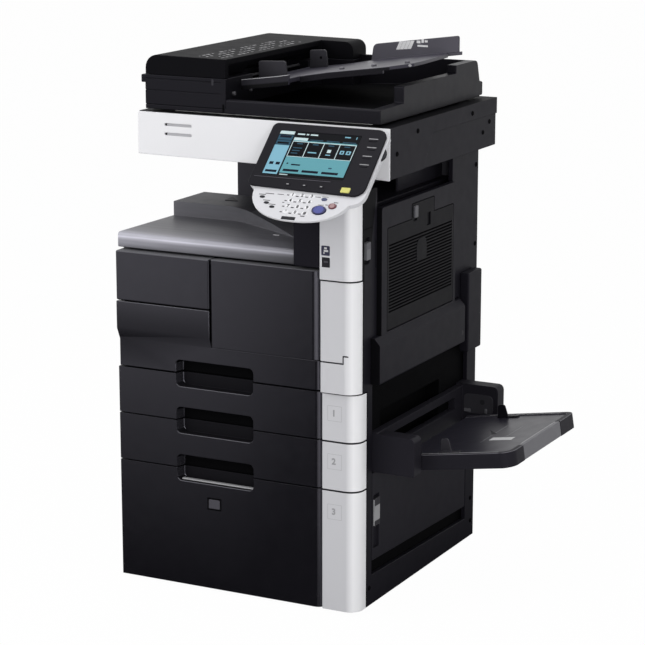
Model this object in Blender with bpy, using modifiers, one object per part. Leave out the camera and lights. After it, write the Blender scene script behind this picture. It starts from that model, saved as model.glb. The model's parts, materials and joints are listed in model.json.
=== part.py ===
"""Floor-standing office photocopier with a document feeder, a tilting touch panel, three paper drawers,
a louvred duplex cover and a bypass tray that rests open. Metres, +Z up, the front faces -Y."""

import math

import bmesh
import bpy
from mathutils import Matrix, Vector

# The body is drawn about its own middle, then shifted so that the whole box stands centred on the origin
SHIFT_X = -0.1497
SHIFT_Y = 0.0081

# Gaps between pieces, and how far a cutter runs past the face that it opens
GAP = 0.0004
SEAM = 0.003
PAST = 0.030

# Body
BODY_LEFT = -0.290
BODY_RIGHT = 0.290
BODY_FRONT = -0.290
BODY_REAR = 0.318
BODY_BOTTOM = 0.008
DECK_HEIGHT = 0.741
PANEL_THICKNESS = 0.005

# Chassis
CHASSIS = ((-0.2845, 0.2785), (-0.2575, 0.3130), (0.0190, 0.7405))
BAY_X = (-0.264, 0.222)
BAY_REAR = 0.120
BAY_FLOOR = 0.024
BAY_LIFT = 0.0055
BAY_DROP = 0.0035
ENGINE_Z = (0.492, 0.731)
ENGINE_REAR = 0.262
PATH_OPENING = ((0.246, 0.300), (-0.160, 0.140), (0.110, 0.420))
DUPLEX_OPENING = ((0.2615, 0.300), (-0.198, 0.175), (0.497, 0.760))
ENGINE_OPENING = ((0.215, 0.300), (-0.150, 0.130), (0.505, 0.715))
BEARING_PLATE = ((0.125, 0.2225), (-0.200, -0.192))
FEET = ((-0.225, -0.205), (0.205, -0.205), (-0.225, 0.262), (0.205, 0.262))
FOOT_RADIUS = 0.022

# Left, rear and right covers
COVER_SEAMS = (0.272, 0.483)
LEFT_GRIP = ((-0.060, 0.080), (0.400, 0.440))
VENT_COLUMNS = (-0.170, 0.060)
VENT_LENGTH = 0.110
VENT_ROWS = 8
VENT_BOTTOM = 0.560
VENT_PITCH = 0.016
VENT_HEIGHT = 0.006
INLET = ((0.190, 0.222), (0.320, 0.346))
RIGHT_INNER = 0.2795
RIGHT_FRONT = (-0.2455, -0.2685)
RIGHT_TOP = (0.905, 0.9165)
HINGE_BOX = ((0.2895, 0.312), (0.223, 0.298), (0.466, 0.647))
SIDE_LATCH = ((-0.2595, -0.2415), (0.762, 0.799))
SIDE_LATCH_TRAVEL = 0.008

# Front covers, door and white corner column
COVER_FRONT = -0.300
COVER_BACK = -0.264
COVER_TOP = 0.739
COVER_SPLIT = 0.6295
TAPER_BOTTOM = 0.5465
TAPER_TOP = 0.570
DOOR_LEFT = -0.054
DOOR_BOTTOM = 0.5495
DOOR_BACK = -0.272
DOOR_POCKET_BACK = -0.288
EDGE_RADIUS = 0.016
COLUMN_X = 0.208
COLUMN_RADIUS = 0.030
COLUMN_WALL = 0.011
COLUMN_FRONT = -0.304
COLUMN_SIDE_END = -0.272
CAP_SIDE_END = -0.249
COLUMN_SEAM = 0.7215
COLUMN_TOP = 0.960
COLUMN_STEP = (0.262, 0.548, 0.564)
GROOVE = 0.0025
PORT = ((0.213, 0.232), (0.750, 0.770))

# Output tray and exit housing
TRAY_LIP_FRONT = -0.2845
TRAY_LIP_RADIUS = 0.007
TRAY_Z = (0.7435, 0.772)
TRAY_RIGHT = 0.142
TRAY_REAR_Y = 0.239
RAISED_TOP = 0.806
EXIT_X = (0.143, 0.261)
EXIT_STEP = (0.2035, -0.244)
EXIT_FRONT = -0.296
EXIT_Z = (0.744, 0.862)
EXIT_SLOT = ((0.100, 0.190), (-0.170, 0.160), (0.822, 0.840))
REAR_COLUMN = ((-0.289, 0.279), (0.240, 0.313), (0.7415, 0.918))

# Paper drawers, from the top one down
DRAWER_TOPS = (0.482, 0.378, 0.272)
DRAWER_BACK = -0.262
HANDLE_X = (-0.149, 0.047)
HANDLE_REACH = 0.029
HANDLE_DEPTH = 0.022
HANDLE_TAPER = 0.90
BOX_X = (-0.250, 0.212)
BOX_REAR = 0.100
BOX_WALL = 0.004
BOX_DROP = 0.010
FEED_NOTCH = ((-0.120, 0.010), 0.025)
LIFT_HINGE_X = -0.080
LIFT_Y = (-0.235, 0.080)
LIFT_THICKNESS = 0.002
LIFT_WINDOW = ((0.030, 0.130), (-0.120, -0.040))
BUTTON = ((-0.067, -0.040), (0.190, 0.210))
BUTTON_HOLE_DEPTH = 0.012

# Imaging parts
LASER = ((-0.210, 0.120), (-0.180, 0.200))
LASER_TOP = 0.556
DRUM_CENTRE = (0.180, 0.602)
DRUM_RADIUS = 0.035
DRUM_SHAFT = 0.006
DRUM_Y = (-0.185, 0.165)
DRUM_SHAFT_Y = (-0.2065, 0.266)
TONER_RADIUS = 0.044
TONER_X = 0.045
TONER_Y = (-0.215, 0.170)
TONER_SINK = 0.008
TONER_GROOVES = 5
TONER_PITCH = 0.060
FUSER = ((0.126, 0.214), (-0.185, 0.150))
FUSER_BOTTOM = 0.662
NIP = ((0.168, 0.176), (-0.150, 0.120))

# Scanner
SCAN_X = (-0.289, 0.312)
SCAN_Y = (-0.187, 0.368)
SCAN_Z = (0.9185, 1.026)
SCAN_BELLY = ((-0.320, 0.145), (-0.220, 0.236), (0.900, 0.933))
SCAN_CAVITY = ((-0.270, 0.290), (-0.168, 0.300), (0.945, 1.014))
FACET = ((0.021, 0.990), (-0.035, 0.900))
FACET_DEPTH = 0.003
GLASS_X = (-0.205, 0.245)
GLASS_Y = (-0.150, 0.190)
GLASS_THICKNESS = 0.004
GLASS_LEDGE = 0.010
CARRIAGE_X = -0.245
CARRIAGE_HALF = 0.018
CARRIAGE_Y = (-0.160, 0.200)
CARRIAGE_Z = (0.9454, 0.990, 1.008)
FRONT_SLOT_X = (-0.2235, -0.1565)
FRONT_SLOT_Z = (1.000, 0.9797)
FRONT_SLOT_HALF = 0.0028

# Document feeder
FEED_BOTTOM = 1.0305
FEED_X = (-0.277, 0.285)
FEED_Y = (-0.180, 0.330)
FEED_HINGE = (0.0, 0.346, 1.036)
HINGE_COVER = ((0.250, 0.285), (0.316, 0.349), (1.0315, 1.063))
KNUCKLES = (-0.185, 0.205)
KNUCKLE_HALF = 0.010
FEED_PIN = 0.003
HEAD_RIGHT = -0.079
HEAD_FLOOR = 1.040
HEAD_SPLIT = 1.104
HEAD_TOP = 1.147
HEAD_WALL = 0.014
HEAD_LINES = (1.070, 1.0945)
THROAT_DEPTH = 0.030
THROAT_TOP = 1.133
ARM_RIGHT = 0.002
ARM_FRONT = 0.262
ARM_TOP = 1.144
BASIN_Y = (-0.166, 0.300)
BASIN_RIGHT = 0.262
BASIN_Z = (1.044, 1.056)
TOP_COVER_HINGE = (FEED_X[0] + 0.0005, 0.0, HEAD_SPLIT + GAP)
ROLLER_WELL = (-0.060, 0.200)
ROLLER_CENTRE = (-0.104, 1.0945)
ROLLER_RADIUS = 0.010
ROLLER_SHAFT = 0.003
ROLLER_TREAD = (0.030, 0.110)
FEED_LEVER = ((-0.290, -0.2715), (-0.176, -0.140), (1.086, 1.103))
PAD = ((-0.215, 0.255), (-0.160, 0.200))
TRAY_SURFACE = ((-0.069, 1.0905), (0.017, 1.102), (0.108, 1.118), (0.297, 1.144))
TRAY_THICKNESS = 0.0075
DOC_TRAY_Y = (-0.078, 0.205)
DOC_HINGE = (-0.0725, 0.0, 1.087)
DOC_BARREL = 0.0045
APRON_X = (-0.069, 0.045)
APRON_FRONT = -0.130
APRON_DEPTH = 0.010
APRON_RIM = (0.008, 0.014)
RIM_WIDTH = 0.008
LAP = 0.002
FRONT_RIM_X = (0.045, 0.240)
FRONT_RIM_DEPTH = 0.014
TRAY_END = [(0.320, -0.010), (0.2985, -0.010), (0.285, 0.155), (0.262, 0.1985), (0.320, 0.1985)]
WING_X = (0.078, 0.290)
WING_Z = (1.150, 1.178)
WING_THICKNESS = 0.006
GUIDE_X = {"document_guide_front": (-0.0565, 0.012), "document_guide_rear": (-0.0565, -0.012)}
GUIDE_TOP = 1.136
GUIDE_HALF = 0.003
GUIDE_Y = {"document_guide_front": -0.072, "document_guide_rear": 0.165}

# Control panel: x runs across it and s down its slope from the top edge
PANEL_LEAN = math.radians(42.5)
PANEL_TOP = (-0.2025, 1.0225)
PIVOT_S = 0.020
PIVOT_W = -0.0145
FACE = -PIVOT_W
SHELL_DEPTH = 0.010
BEZEL_DEPTH = 0.005
RIM_X = (0.0535, 0.3235)
RIM_S = (-0.002, 0.192)
BACK_CHAMFER = [(0.01375, 0.0015), (0.0275, 0.0015), (0.0275, 0.0165)]
DECK_CHAMFER = [(-0.160, 0.0030), (-0.2465, 0.0114), (-0.2465, -0.010), (-0.160, -0.010)]
BEZEL_X = (0.054, 0.318)
BEZEL_S = (0.002, 0.1755)
SCREEN_X = (0.0765, 0.2645)
SCREEN_S = (0.0215, 0.1385)
SCREEN_SINK = 0.0012
DECK_MIDDLE = (0.186, 0.170)
DECK_HALF = (0.114, 0.0765)
BACK_BOX = ((0.100, 0.190), (0.040, 0.170))
BACK_BOX_DEPTH = 0.034
START_KEY = (0.236, 0.214)
START_HALF = (0.0155, 0.0105)
STOP_KEY = (0.2615, 0.201)
STOP_HALF = (0.0085, 0.0065)
KEY_WELL = 0.006
KEY_BASE = 0.0035
YELLOW_X = (0.268, 0.288)
YELLOW_S = (0.156, 0.1685)
DIAL_CENTRE = (0.310, 0.0595)
DIAL_RADIUS = 0.019
DIAL_SPAN = (0.0076, 0.0024)
EARS = (0.080, 0.290)
EAR_HALF = 0.006
TILT_PIN = 0.0025
TILT_BARREL = 0.0045

# Side door, louvred duplex cover and lower door
SIDE_X = (0.286, 0.300)
SIDE_DOOR = ((-0.2005, 0.1735), (0.494, 0.862))
SIDE_HINGE = (0.302, 0.197, 0.0)
BULGE_Y = (-0.232, 0.205)
BULGE_X = (0.2906, 0.312)
BULGE_Z = (0.494, 0.578, 0.5925)
DUPLEX_PATH = ((0.264, 0.2868), (-0.190, 0.168), (0.505, 0.840))
FLAP_Y = (-0.173, 0.160)
FLAP_Z = (0.598, 0.8145)
FLAP_BACK = 0.295
FLAP_HINGE = (0.2965, 0.0, 0.603)
FLAP_PIN = 0.002
TAB_Y = (-0.054, 0.058)
TAB_TOP = 0.847
LOUVRES = 22
LOUVRE_Y = (-0.166, 0.153)
LOUVRE_Z = (0.634, 0.782)
LOUVRE_HALF = 0.0017
LOUVRE_LEAN = 0.005
GRILLE_PLATE = ((-0.030, 0.020), (0.720, 0.768))
DUPLEX_LEVER = ((-0.046, -0.030), (0.816, 0.842))
LEVER_TRAVEL = 0.007
FLAP_SLOT = ((0.020, 0.040), (0.789, 0.817))
LOWER_DOOR = ((-0.2195, 0.2665), (0.097, 0.2975))
DOOR_SLANT = 0.008
SILL_GAP = 0.031
LOWER_INNER = 0.2805
LOWER_HINGE = (0.2855, 0.262, 0.0)
LOWER_LATCH = ((-0.213, -0.187), (0.180, 0.240))
LATCH_POCKET_Z = (0.130, 0.248)

# Bypass: its tray is drawn flat about its pivot, then tipped up
BYPASS_PIVOT = (0.345, 0.0, 0.316)
BYPASS_TIP = math.radians(9.0)
BYPASS_X = (0.280, 0.297)
BYPASS_Z = (0.2995, 0.386)
MOUTH = ((-0.160, 0.190), (0.340, 0.368))
CHEEK_FRONT = (-0.2145, -0.178)
CHEEK_REAR = (0.230, 0.2655)
CHEEK_TOPS = (0.383, 0.391)
CHEEK_X = 0.384
PIVOT_HOLE_Y = (-0.186, 0.238)
PIVOT_PIN = 0.004
TRAY_HALF = 0.0165
TRAY_X = (-0.014, 0.245)
TRAY_Y = (-0.174, 0.190)
TRAY_SKIN = 0.0065
TRAY_RECESS = 0.0025
EXTENSION_Y = (-0.108, 0.100)
EXTENSION_DEPTH = 0.0125
TONGUE = (0.060, 0.0105, 0.0070)
BYPASS_GUIDES = {"bypass_guide_front": (-0.145, -1), "bypass_guide_rear": (0.161, 1)}
GUIDE_WALL = ((0.072, 0.098), (0.077, 0.093))
GUIDE_HEIGHT = 0.030
GUIDE_FOOT = (0.072, 0.120)

# Colours
BLACK = (0.018, 0.018, 0.021)
CHARCOAL = (0.045, 0.045, 0.050)
GREY = (0.16, 0.16, 0.17)
LIGHT_GREY = (0.45, 0.45, 0.46)
WHITE = (0.78, 0.78, 0.79)
STEEL = (0.55, 0.56, 0.57)
DRUM_BLUE = (0.05, 0.16, 0.20)
SCREEN_BLUE = (0.30, 0.55, 0.62)
START_BLUE = (0.05, 0.08, 0.45)
STOP_RED = (0.45, 0.10, 0.10)
KEY_YELLOW = (0.75, 0.70, 0.15)
GLASS_GREEN = (0.55, 0.62, 0.62)


def clear_scene():
    for item in list(bpy.data.objects):
        bpy.data.objects.remove(item, do_unlink=True)


def new_collection(name):
    collection = bpy.data.collections.new(name)
    bpy.context.scene.collection.children.link(collection)
    return collection


clear_scene()
PARTS = new_collection("photocopier")
CUTTERS = new_collection("cutters")


def empty(name, location, parent=None, rotation=(0.0, 0.0, 0.0)):
    item = bpy.data.objects.new(name, None)
    CUTTERS.objects.link(item)
    item.parent = parent
    item.location = location
    item.rotation_euler = rotation
    return item


def panel_point(s, w):
    """Machine y and z of a point s down the panel's slope and w out of its face."""
    y = PANEL_TOP[0] - s * math.cos(PANEL_LEAN) - w * math.sin(PANEL_LEAN)
    z = PANEL_TOP[1] - s * math.sin(PANEL_LEAN) + w * math.cos(PANEL_LEAN)
    return y, z


PANEL_PIVOT = (0.0,) + panel_point(PIVOT_S, PIVOT_W)
MACHINE = empty("machine_frame", (SHIFT_X, SHIFT_Y, 0.0))
PANEL = empty("panel_axis", PANEL_PIVOT, MACHINE, (PANEL_LEAN, 0.0, 0.0))
BYPASS = empty("bypass_axis", BYPASS_PIVOT, MACHINE, (0.0, -BYPASS_TIP, 0.0))


# Making and finishing pieces

def material(name, colour, roughness, metallic):
    shader = bpy.data.materials.new(name)
    shader.use_nodes = True
    principled = shader.node_tree.nodes["Principled BSDF"]
    principled.inputs["Base Color"].default_value = colour + (1.0,)
    principled.inputs["Roughness"].default_value = roughness
    principled.inputs["Metallic"].default_value = metallic
    return shader


def finish(item, colour, roughness=0.45, metallic=0.0, origin=None):
    """Give a part its material, its place in the parts collection and the origin it moves about."""
    item.data.materials.clear()
    item.data.materials.append(material(item.name + "_finish", colour, roughness, metallic))
    CUTTERS.objects.unlink(item)
    PARTS.objects.link(item)
    item.hide_render = False
    item.display_type = "TEXTURED"
    if origin is not None:
        item.data.transform(Matrix.Translation(-Vector(origin)))
        item.location = origin
    return item


def mesh_object(name, bm, parent):
    mesh = bpy.data.meshes.new(name)
    bm.to_mesh(mesh)
    bm.free()
    item = bpy.data.objects.new(name, mesh)
    CUTTERS.objects.link(item)
    item.parent = parent
    item.hide_render = True
    item.display_type = "WIRE"
    return item


def shade_round(item):
    item.data.shade_smooth()
    item.data.set_sharp_from_angle(angle=math.radians(40))


def box(name, x, y, z, parent=MACHINE):
    bm = bmesh.new()
    size = Matrix.Diagonal((x[1] - x[0], y[1] - y[0], z[1] - z[0], 1.0))
    middle = Vector(((x[0] + x[1]) / 2, (y[0] + y[1]) / 2, (z[0] + z[1]) / 2))
    bmesh.ops.create_cube(bm, size=1.0, matrix=Matrix.Translation(middle) @ size)
    return mesh_object(name, bm, parent)


def rod(name, axis, span, centre, radius, sides=24, parent=MACHINE):
    """A round bar along x, y or z over the span, through the given centre on the other two axes."""
    turns = {"x": Matrix.Rotation(math.pi / 2, 4, "Y"), "y": Matrix.Rotation(math.pi / 2, 4, "X"),
             "z": Matrix.Identity(4)}
    middle = list(centre)
    middle.insert("xyz".index(axis), (span[0] + span[1]) / 2)
    bm = bmesh.new()
    bmesh.ops.create_cone(bm, cap_ends=True, segments=sides, radius1=radius, radius2=radius,
                          depth=span[1] - span[0], matrix=Matrix.Translation(middle) @ turns[axis])
    item = mesh_object(name, bm, parent)
    shade_round(item)
    return item


def turned(name, profile, centre, sides=28):
    """A shape turned about a line along y: the profile gives (y, radius) from front to rear."""
    mesh = bpy.data.meshes.new(name)
    points = [(0.0, 0.0, -profile[0][0])] + [(radius, 0.0, -y) for y, radius in profile]
    points.append((0.0, 0.0, -profile[-1][0]))
    mesh.from_pydata(points, [(i, i + 1) for i in range(len(points) - 1)], [])
    drawn = bpy.data.objects.new(name, mesh)
    CUTTERS.objects.link(drawn)
    screw = drawn.modifiers.new("turn", "SCREW")
    screw.steps = sides
    screw.render_steps = sides
    screw.use_merge_vertices = True
    screw.merge_threshold = 0.00001
    evaluated = drawn.evaluated_get(bpy.context.evaluated_depsgraph_get())
    bm = bmesh.new()
    bm.from_mesh(evaluated.to_mesh())
    bmesh.ops.remove_doubles(bm, verts=bm.verts, dist=0.00001)
    lie = Matrix.Translation((centre[0], 0.0, centre[1])) @ Matrix.Rotation(math.pi / 2, 4, "X")
    bmesh.ops.transform(bm, matrix=lie, verts=bm.verts)
    bmesh.ops.recalc_face_normals(bm, faces=bm.faces)
    bpy.data.objects.remove(drawn)
    bpy.data.meshes.remove(mesh)
    item = mesh_object(name, bm, MACHINE)
    shade_round(item)
    return item


def rounded(corners, steps=5):
    """Outline points from (a, b, radius) corners, with an arc of the given radius at each."""
    points = []
    count = len(corners)
    for index, (a, b, radius) in enumerate(corners):
        corner = Vector((a, b))
        if radius <= 0:
            points.append(tuple(corner))
            continue
        before = (Vector(corners[index - 1][:2]) - corner).normalized()
        after = (Vector(corners[(index + 1) % count][:2]) - corner).normalized()
        half = math.acos(max(-1.0, min(1.0, before.dot(after)))) / 2
        reach = radius / math.tan(half)
        centre = corner + (before + after).normalized() * (radius / math.sin(half))
        first = corner + before * reach - centre
        last = corner + after * reach - centre
        sweep = math.atan2(first.x * last.y - first.y * last.x, first.dot(last))
        for step in range(steps + 1):
            turn = Matrix.Rotation(sweep * step / steps, 2)
            points.append(tuple(centre + turn @ first))
    return points


def rectangle(a, b, radius=0.0, steps=5):
    return rounded([(a[0], b[0], radius), (a[1], b[0], radius), (a[1], b[1], radius), (a[0], b[1], radius)],
                   steps)


def grown(span, margin):
    return span[0] - margin, span[1] + margin


def oval(middle, half, sides=28, power=2.0):
    points = []
    for step in range(sides):
        angle = 2 * math.pi * step / sides
        c = math.cos(angle)
        s = math.sin(angle)
        points.append((middle[0] + half[0] * math.copysign(abs(c) ** (2 / power), c),
                       middle[1] + half[1] * math.copysign(abs(s) ** (2 / power), s)))
    return points


PLANES = {
    "xy": Matrix.Identity(4),
    "xz": Matrix(((1, 0, 0, 0), (0, 0, -1, 0), (0, 1, 0, 0), (0, 0, 0, 1))),
    "yz": Matrix(((0, 0, 1, 0), (1, 0, 0, 0), (0, 1, 0, 0), (0, 0, 0, 1))),
}


def plate(name, plane, span, outline, holes=(), parent=MACHINE):
    """A flat outline in a plane, filled and carried across the span on the third axis."""
    curve = bpy.data.curves.new(name, "CURVE")
    curve.dimensions = "2D"
    curve.fill_mode = "BOTH"
    curve.extrude = (span[1] - span[0]) / 2
    for loop in [outline] + list(holes):
        spline = curve.splines.new("POLY")
        spline.points.add(len(loop) - 1)
        for point, (a, b) in zip(spline.points, loop):
            point.co = (a, b, 0.0, 1.0)
        spline.use_cyclic_u = True
    drawn = bpy.data.objects.new(name, curve)
    CUTTERS.objects.link(drawn)
    evaluated = drawn.evaluated_get(bpy.context.evaluated_depsgraph_get())
    mesh = bpy.data.meshes.new_from_object(evaluated)
    bm = bmesh.new()
    bm.from_mesh(mesh)
    bmesh.ops.remove_doubles(bm, verts=bm.verts, dist=0.00002)
    lift = (span[0] + span[1]) / 2
    if plane == "xz":
        lift = -lift
    bmesh.ops.transform(bm, matrix=PLANES[plane] @ Matrix.Translation((0, 0, lift)), verts=bm.verts)
    bmesh.ops.recalc_face_normals(bm, faces=bm.faces)
    bpy.data.objects.remove(drawn)
    bpy.data.curves.remove(curve)
    bpy.data.meshes.remove(mesh)
    return mesh_object(name, bm, parent)


def combine(item, operation, tools):
    for tool in tools:
        modifier = item.modifiers.new(operation.lower(), "BOOLEAN")
        modifier.operation = operation
        modifier.solver = "EXACT"
        modifier.object = tool


def cut(item, *tools):
    combine(item, "DIFFERENCE", tools)


def add(item, *tools):
    combine(item, "UNION", tools)


def soften(item, width, segments=2, angle=40):
    modifier = item.modifiers.new("bevel", "BEVEL")
    modifier.width = width
    modifier.segments = segments
    modifier.limit_method = "ANGLE"
    modifier.angle_limit = math.radians(angle)


# Chassis and outer covers

def bay_heights(index):
    """Floor and ceiling of the bay that a drawer runs in."""
    low = BAY_FLOOR if index == 2 else DRAWER_TOPS[index + 1] + BAY_LIFT
    return low, DRAWER_TOPS[index] - BAY_DROP


def build_chassis():
    frame = box("chassis", *CHASSIS)
    front = CHASSIS[1][0] - PAST
    for index in range(3):
        cut(frame, box("bay_cut", BAY_X, (front, BAY_REAR), bay_heights(index)))
    cut(frame, box("engine_cut", BAY_X, (front, ENGINE_REAR), ENGINE_Z))
    for opening in (PATH_OPENING, DUPLEX_OPENING, ENGINE_OPENING):
        cut(frame, box("side_opening", *opening))
    add(frame, box("bearing_plate", *BEARING_PLATE, grown(ENGINE_Z, GAP)))
    shaft = (BEARING_PLATE[1][0] - PAST, DRUM_SHAFT_Y[1] + DRUM_SHAFT)
    cut(frame, rod("shaft_cut", "y", shaft, DRUM_CENTRE, DRUM_SHAFT + GAP, 16))
    for foot in FEET:
        add(frame, rod("foot_pad", "z", (0.0, CHASSIS[2][0] + GAP), foot, FOOT_RADIUS, 20))
    finish(frame, STEEL, 0.5, 0.6)


def build_left_cover():
    inner = BODY_LEFT + PANEL_THICKNESS
    left = box("left_cover", (BODY_LEFT, inner), (-0.260, BODY_REAR), (BODY_BOTTOM, DECK_HEIGHT))
    for z in COVER_SEAMS:
        cut(left, box("seam_cut", (BODY_LEFT - PAST, BODY_LEFT + GROOVE),
                      grown((BODY_FRONT, BODY_REAR), PAST), (z - GROOVE / 2, z + GROOVE / 2)))
    grip = rectangle(*LEFT_GRIP, 0.012)
    cut(left, plate("grip_cut", "yz", (BODY_LEFT - PAST, inner - GROOVE), grip))
    finish(left, BLACK)


def build_rear_cover():
    span = (BODY_REAR - PANEL_THICKNESS, BODY_REAR)
    through = grown(span, PAST)
    rear = box("rear_cover", CHASSIS[0], (span[0] + GAP, span[1]), (BODY_BOTTOM, DECK_HEIGHT))
    seam = COVER_SEAMS[0]
    cut(rear, box("seam_cut", grown(CHASSIS[0], PAST), (BODY_REAR - GROOVE, through[1]),
                  (seam - GROOVE / 2, seam + GROOVE / 2)))
    for column in VENT_COLUMNS:
        for row in range(VENT_ROWS):
            z = VENT_BOTTOM + VENT_PITCH * row
            cut(rear, box("vent_cut", (column, column + VENT_LENGTH), through, (z, z + VENT_HEIGHT)))
    cut(rear, box("inlet_cut", INLET[0], through, INLET[1]))
    finish(rear, BLACK)


def build_right_cover():
    """One frame round the side door, the bypass and the lower door, with a box over the hinge side."""
    front, upper_front = RIGHT_FRONT
    rear = BODY_REAR
    low, high = BODY_BOTTOM, RIGHT_TOP
    step = DRAWER_TOPS[0]
    door_front = SIDE_DOOR[0][0] - SEAM
    door_rear = SIDE_DOOR[0][1] + SEAM
    door_low = SIDE_DOOR[1][0] - 0.0025
    sill = LOWER_DOOR[1][0] - SILL_GAP
    outline = [(front, low), (rear, low), (rear, high[1]), (door_rear, high[1]),
               (door_rear, BULGE_Z[2] + 0.001), (BULGE_Y[1] + 0.0145, BULGE_Z[2] + 0.001),
               (BULGE_Y[1] + 0.0145, door_low), (LOWER_DOOR[0][1] + SEAM, door_low),
               (LOWER_DOOR[0][1] + SEAM, sill - DOOR_SLANT), (LOWER_DOOR[0][0] - 0.002, sill + DOOR_SLANT),
               (LOWER_DOOR[0][0] - 0.002, door_low), (door_front, door_low), (door_front, high[0]),
               (upper_front, high[0]), (upper_front, step), (front, step)]
    right = plate("right_cover", "yz", (RIGHT_INNER, BODY_RIGHT), outline)
    hump = box("hinge_box", *HINGE_BOX)
    soften(hump, 0.004)
    add(right, hump)
    way = rectangle(grown(SIDE_LATCH[0], 0.0025), grown(SIDE_LATCH[1], SIDE_LATCH_TRAVEL + 0.001), 0.003, 3)
    cut(right, plate("latch_cut", "yz", (SIDE_X[0], BODY_RIGHT + PAST), way))
    finish(right, BLACK)


def build_rear_column():
    column = box("rear_column", *REAR_COLUMN)
    soften(column, 0.004)
    finish(column, BLACK)


# Output tray

def build_exit_housing():
    step_x, step_y = EXIT_STEP
    outline = [(EXIT_X[0], EXIT_FRONT), (step_x, EXIT_FRONT), (step_x, step_y), (EXIT_X[1], step_y),
               (EXIT_X[1], TRAY_REAR_Y), (EXIT_X[0], TRAY_REAR_Y)]
    housing = plate("exit_housing", "xy", EXIT_Z, outline)
    soften(housing, 0.003)
    cut(housing, box("exit_slot", *EXIT_SLOT))
    finish(housing, BLACK)


def build_output_tray():
    """A flat deck with a rolled silver lip, and a raised stacking block that falls away to the right."""
    left = BODY_LEFT + 0.0015
    low, top = TRAY_Z
    profile = rounded([(TRAY_LIP_FRONT, low, 0.003), (TRAY_REAR_Y, low, 0.0), (TRAY_REAR_Y, top, 0.0),
                       (TRAY_LIP_FRONT, top + 0.004, TRAY_LIP_RADIUS)], 8)
    tray = plate("output_tray", "yz", (left, TRAY_RIGHT), profile)
    block = rounded([(left, -0.050, 0.0), (-0.120, -0.050, 0.12), (0.085, -0.170, 0.0), (0.120, 0.086, 0.03),
                     (left, 0.086, 0.0)], 8)
    raised = plate("raised_block", "xy", (top - 0.010, RAISED_TOP), block)
    over = RAISED_TOP + 0.001
    fall = [(-0.150, over), (0.200, over), (0.200, top - 0.0035), (0.090, top + 0.0015),
            (0.000, top + 0.018), (-0.080, top + 0.030)]
    cut(raised, plate("fall_cut", "xz", (BODY_FRONT, BODY_REAR), fall))
    soften(raised, 0.005, 2, 50)
    add(tray, raised)
    finish(tray, GREY, 0.4)


# Front covers

def column_outline(front, side_end):
    """Plan of the white corner cover: a front leaf, a round corner and a side leaf."""
    side = BODY_RIGHT + 0.0005
    inner = BODY_RIGHT - COLUMN_WALL
    return rounded([(COLUMN_X, front, 0.002), (side, front, COLUMN_RADIUS), (side, side_end, 0.001),
                    (inner, side_end, 0.0), (inner, DRAWER_BACK, 0.004), (COLUMN_X, DRAWER_BACK, 0.0)], 6)


def build_columns():
    upper = plate("column_upper", "xy", (COLUMN_SEAM + SEAM / 2, COLUMN_TOP),
                  column_outline(COLUMN_FRONT, COLUMN_SIDE_END))
    low = panel_point(0.30, -SHELL_DEPTH - 0.002)
    high = panel_point(-0.10, -SHELL_DEPTH - 0.002)
    sky = COLUMN_TOP + 0.24
    cut(upper, plate("slope_cut", "yz", (0.10, 0.40), [low, (low[0], sky), (high[0], sky), high]))
    port = rectangle(*PORT, 0.001, 2)
    cut(upper, plate("port_cut", "xz", (COLUMN_FRONT - PAST, BODY_FRONT), port))
    finish(upper, WHITE, 0.35)

    lower = plate("column_lower", "xy", (DRAWER_TOPS[0] + SEAM / 2, COLUMN_SEAM - SEAM / 2),
                  column_outline(COVER_FRONT, COLUMN_SIDE_END))
    step_x, low, high = COLUMN_STEP
    outer = grown((COLUMN_X, BODY_RIGHT), PAST)
    groove = [(outer[0], low), (step_x, low), (step_x, high), (outer[1], high), (outer[1], high + GROOVE),
              (step_x - GROOVE, high + GROOVE), (step_x - GROOVE, low + GROOVE), (outer[0], low + GROOVE)]
    groove_cut = plate("groove_cut", "xz", (COVER_FRONT - PAST, -0.20), groove)
    core = box("groove_core", (COLUMN_X + GROOVE, BODY_RIGHT - GROOVE), (COVER_FRONT + GROOVE, -0.19),
               grown((low, high), PAST))
    cut(groove_cut, core)
    cut(lower, groove_cut)
    finish(lower, WHITE, 0.35)


FRONT_X = (BODY_LEFT + 0.004, COLUMN_X - SEAM / 2)
FRONT_DOOR_HINGE = (DOOR_LEFT + 0.008, COVER_FRONT + 0.008, 0.640)


def front_plan(left, back):
    """Plan of a dark front: square at the left, rolled over at the right beside the white column."""
    right = FRONT_X[1]
    return rounded([(left, BODY_FRONT, 0.003), (right, BODY_FRONT, EDGE_RADIUS), (right, back, 0.0),
                    (left, back, 0.0)], 5)


def handle_cut(seam):
    """Finger recess across a seam, drawn in towards its floor."""
    outline = rectangle(HANDLE_X, (seam - HANDLE_REACH, seam + HANDLE_REACH), 0.011, 4)
    cutter = plate("handle_cut", "xz", (COVER_FRONT - 0.002, BODY_FRONT + HANDLE_DEPTH), outline)
    middle = sum(HANDLE_X) / 2
    for vertex in cutter.data.vertices:
        if vertex.co.y > BODY_FRONT:
            vertex.co.x = middle + (vertex.co.x - middle) * HANDLE_TAPER
    return cutter


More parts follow.
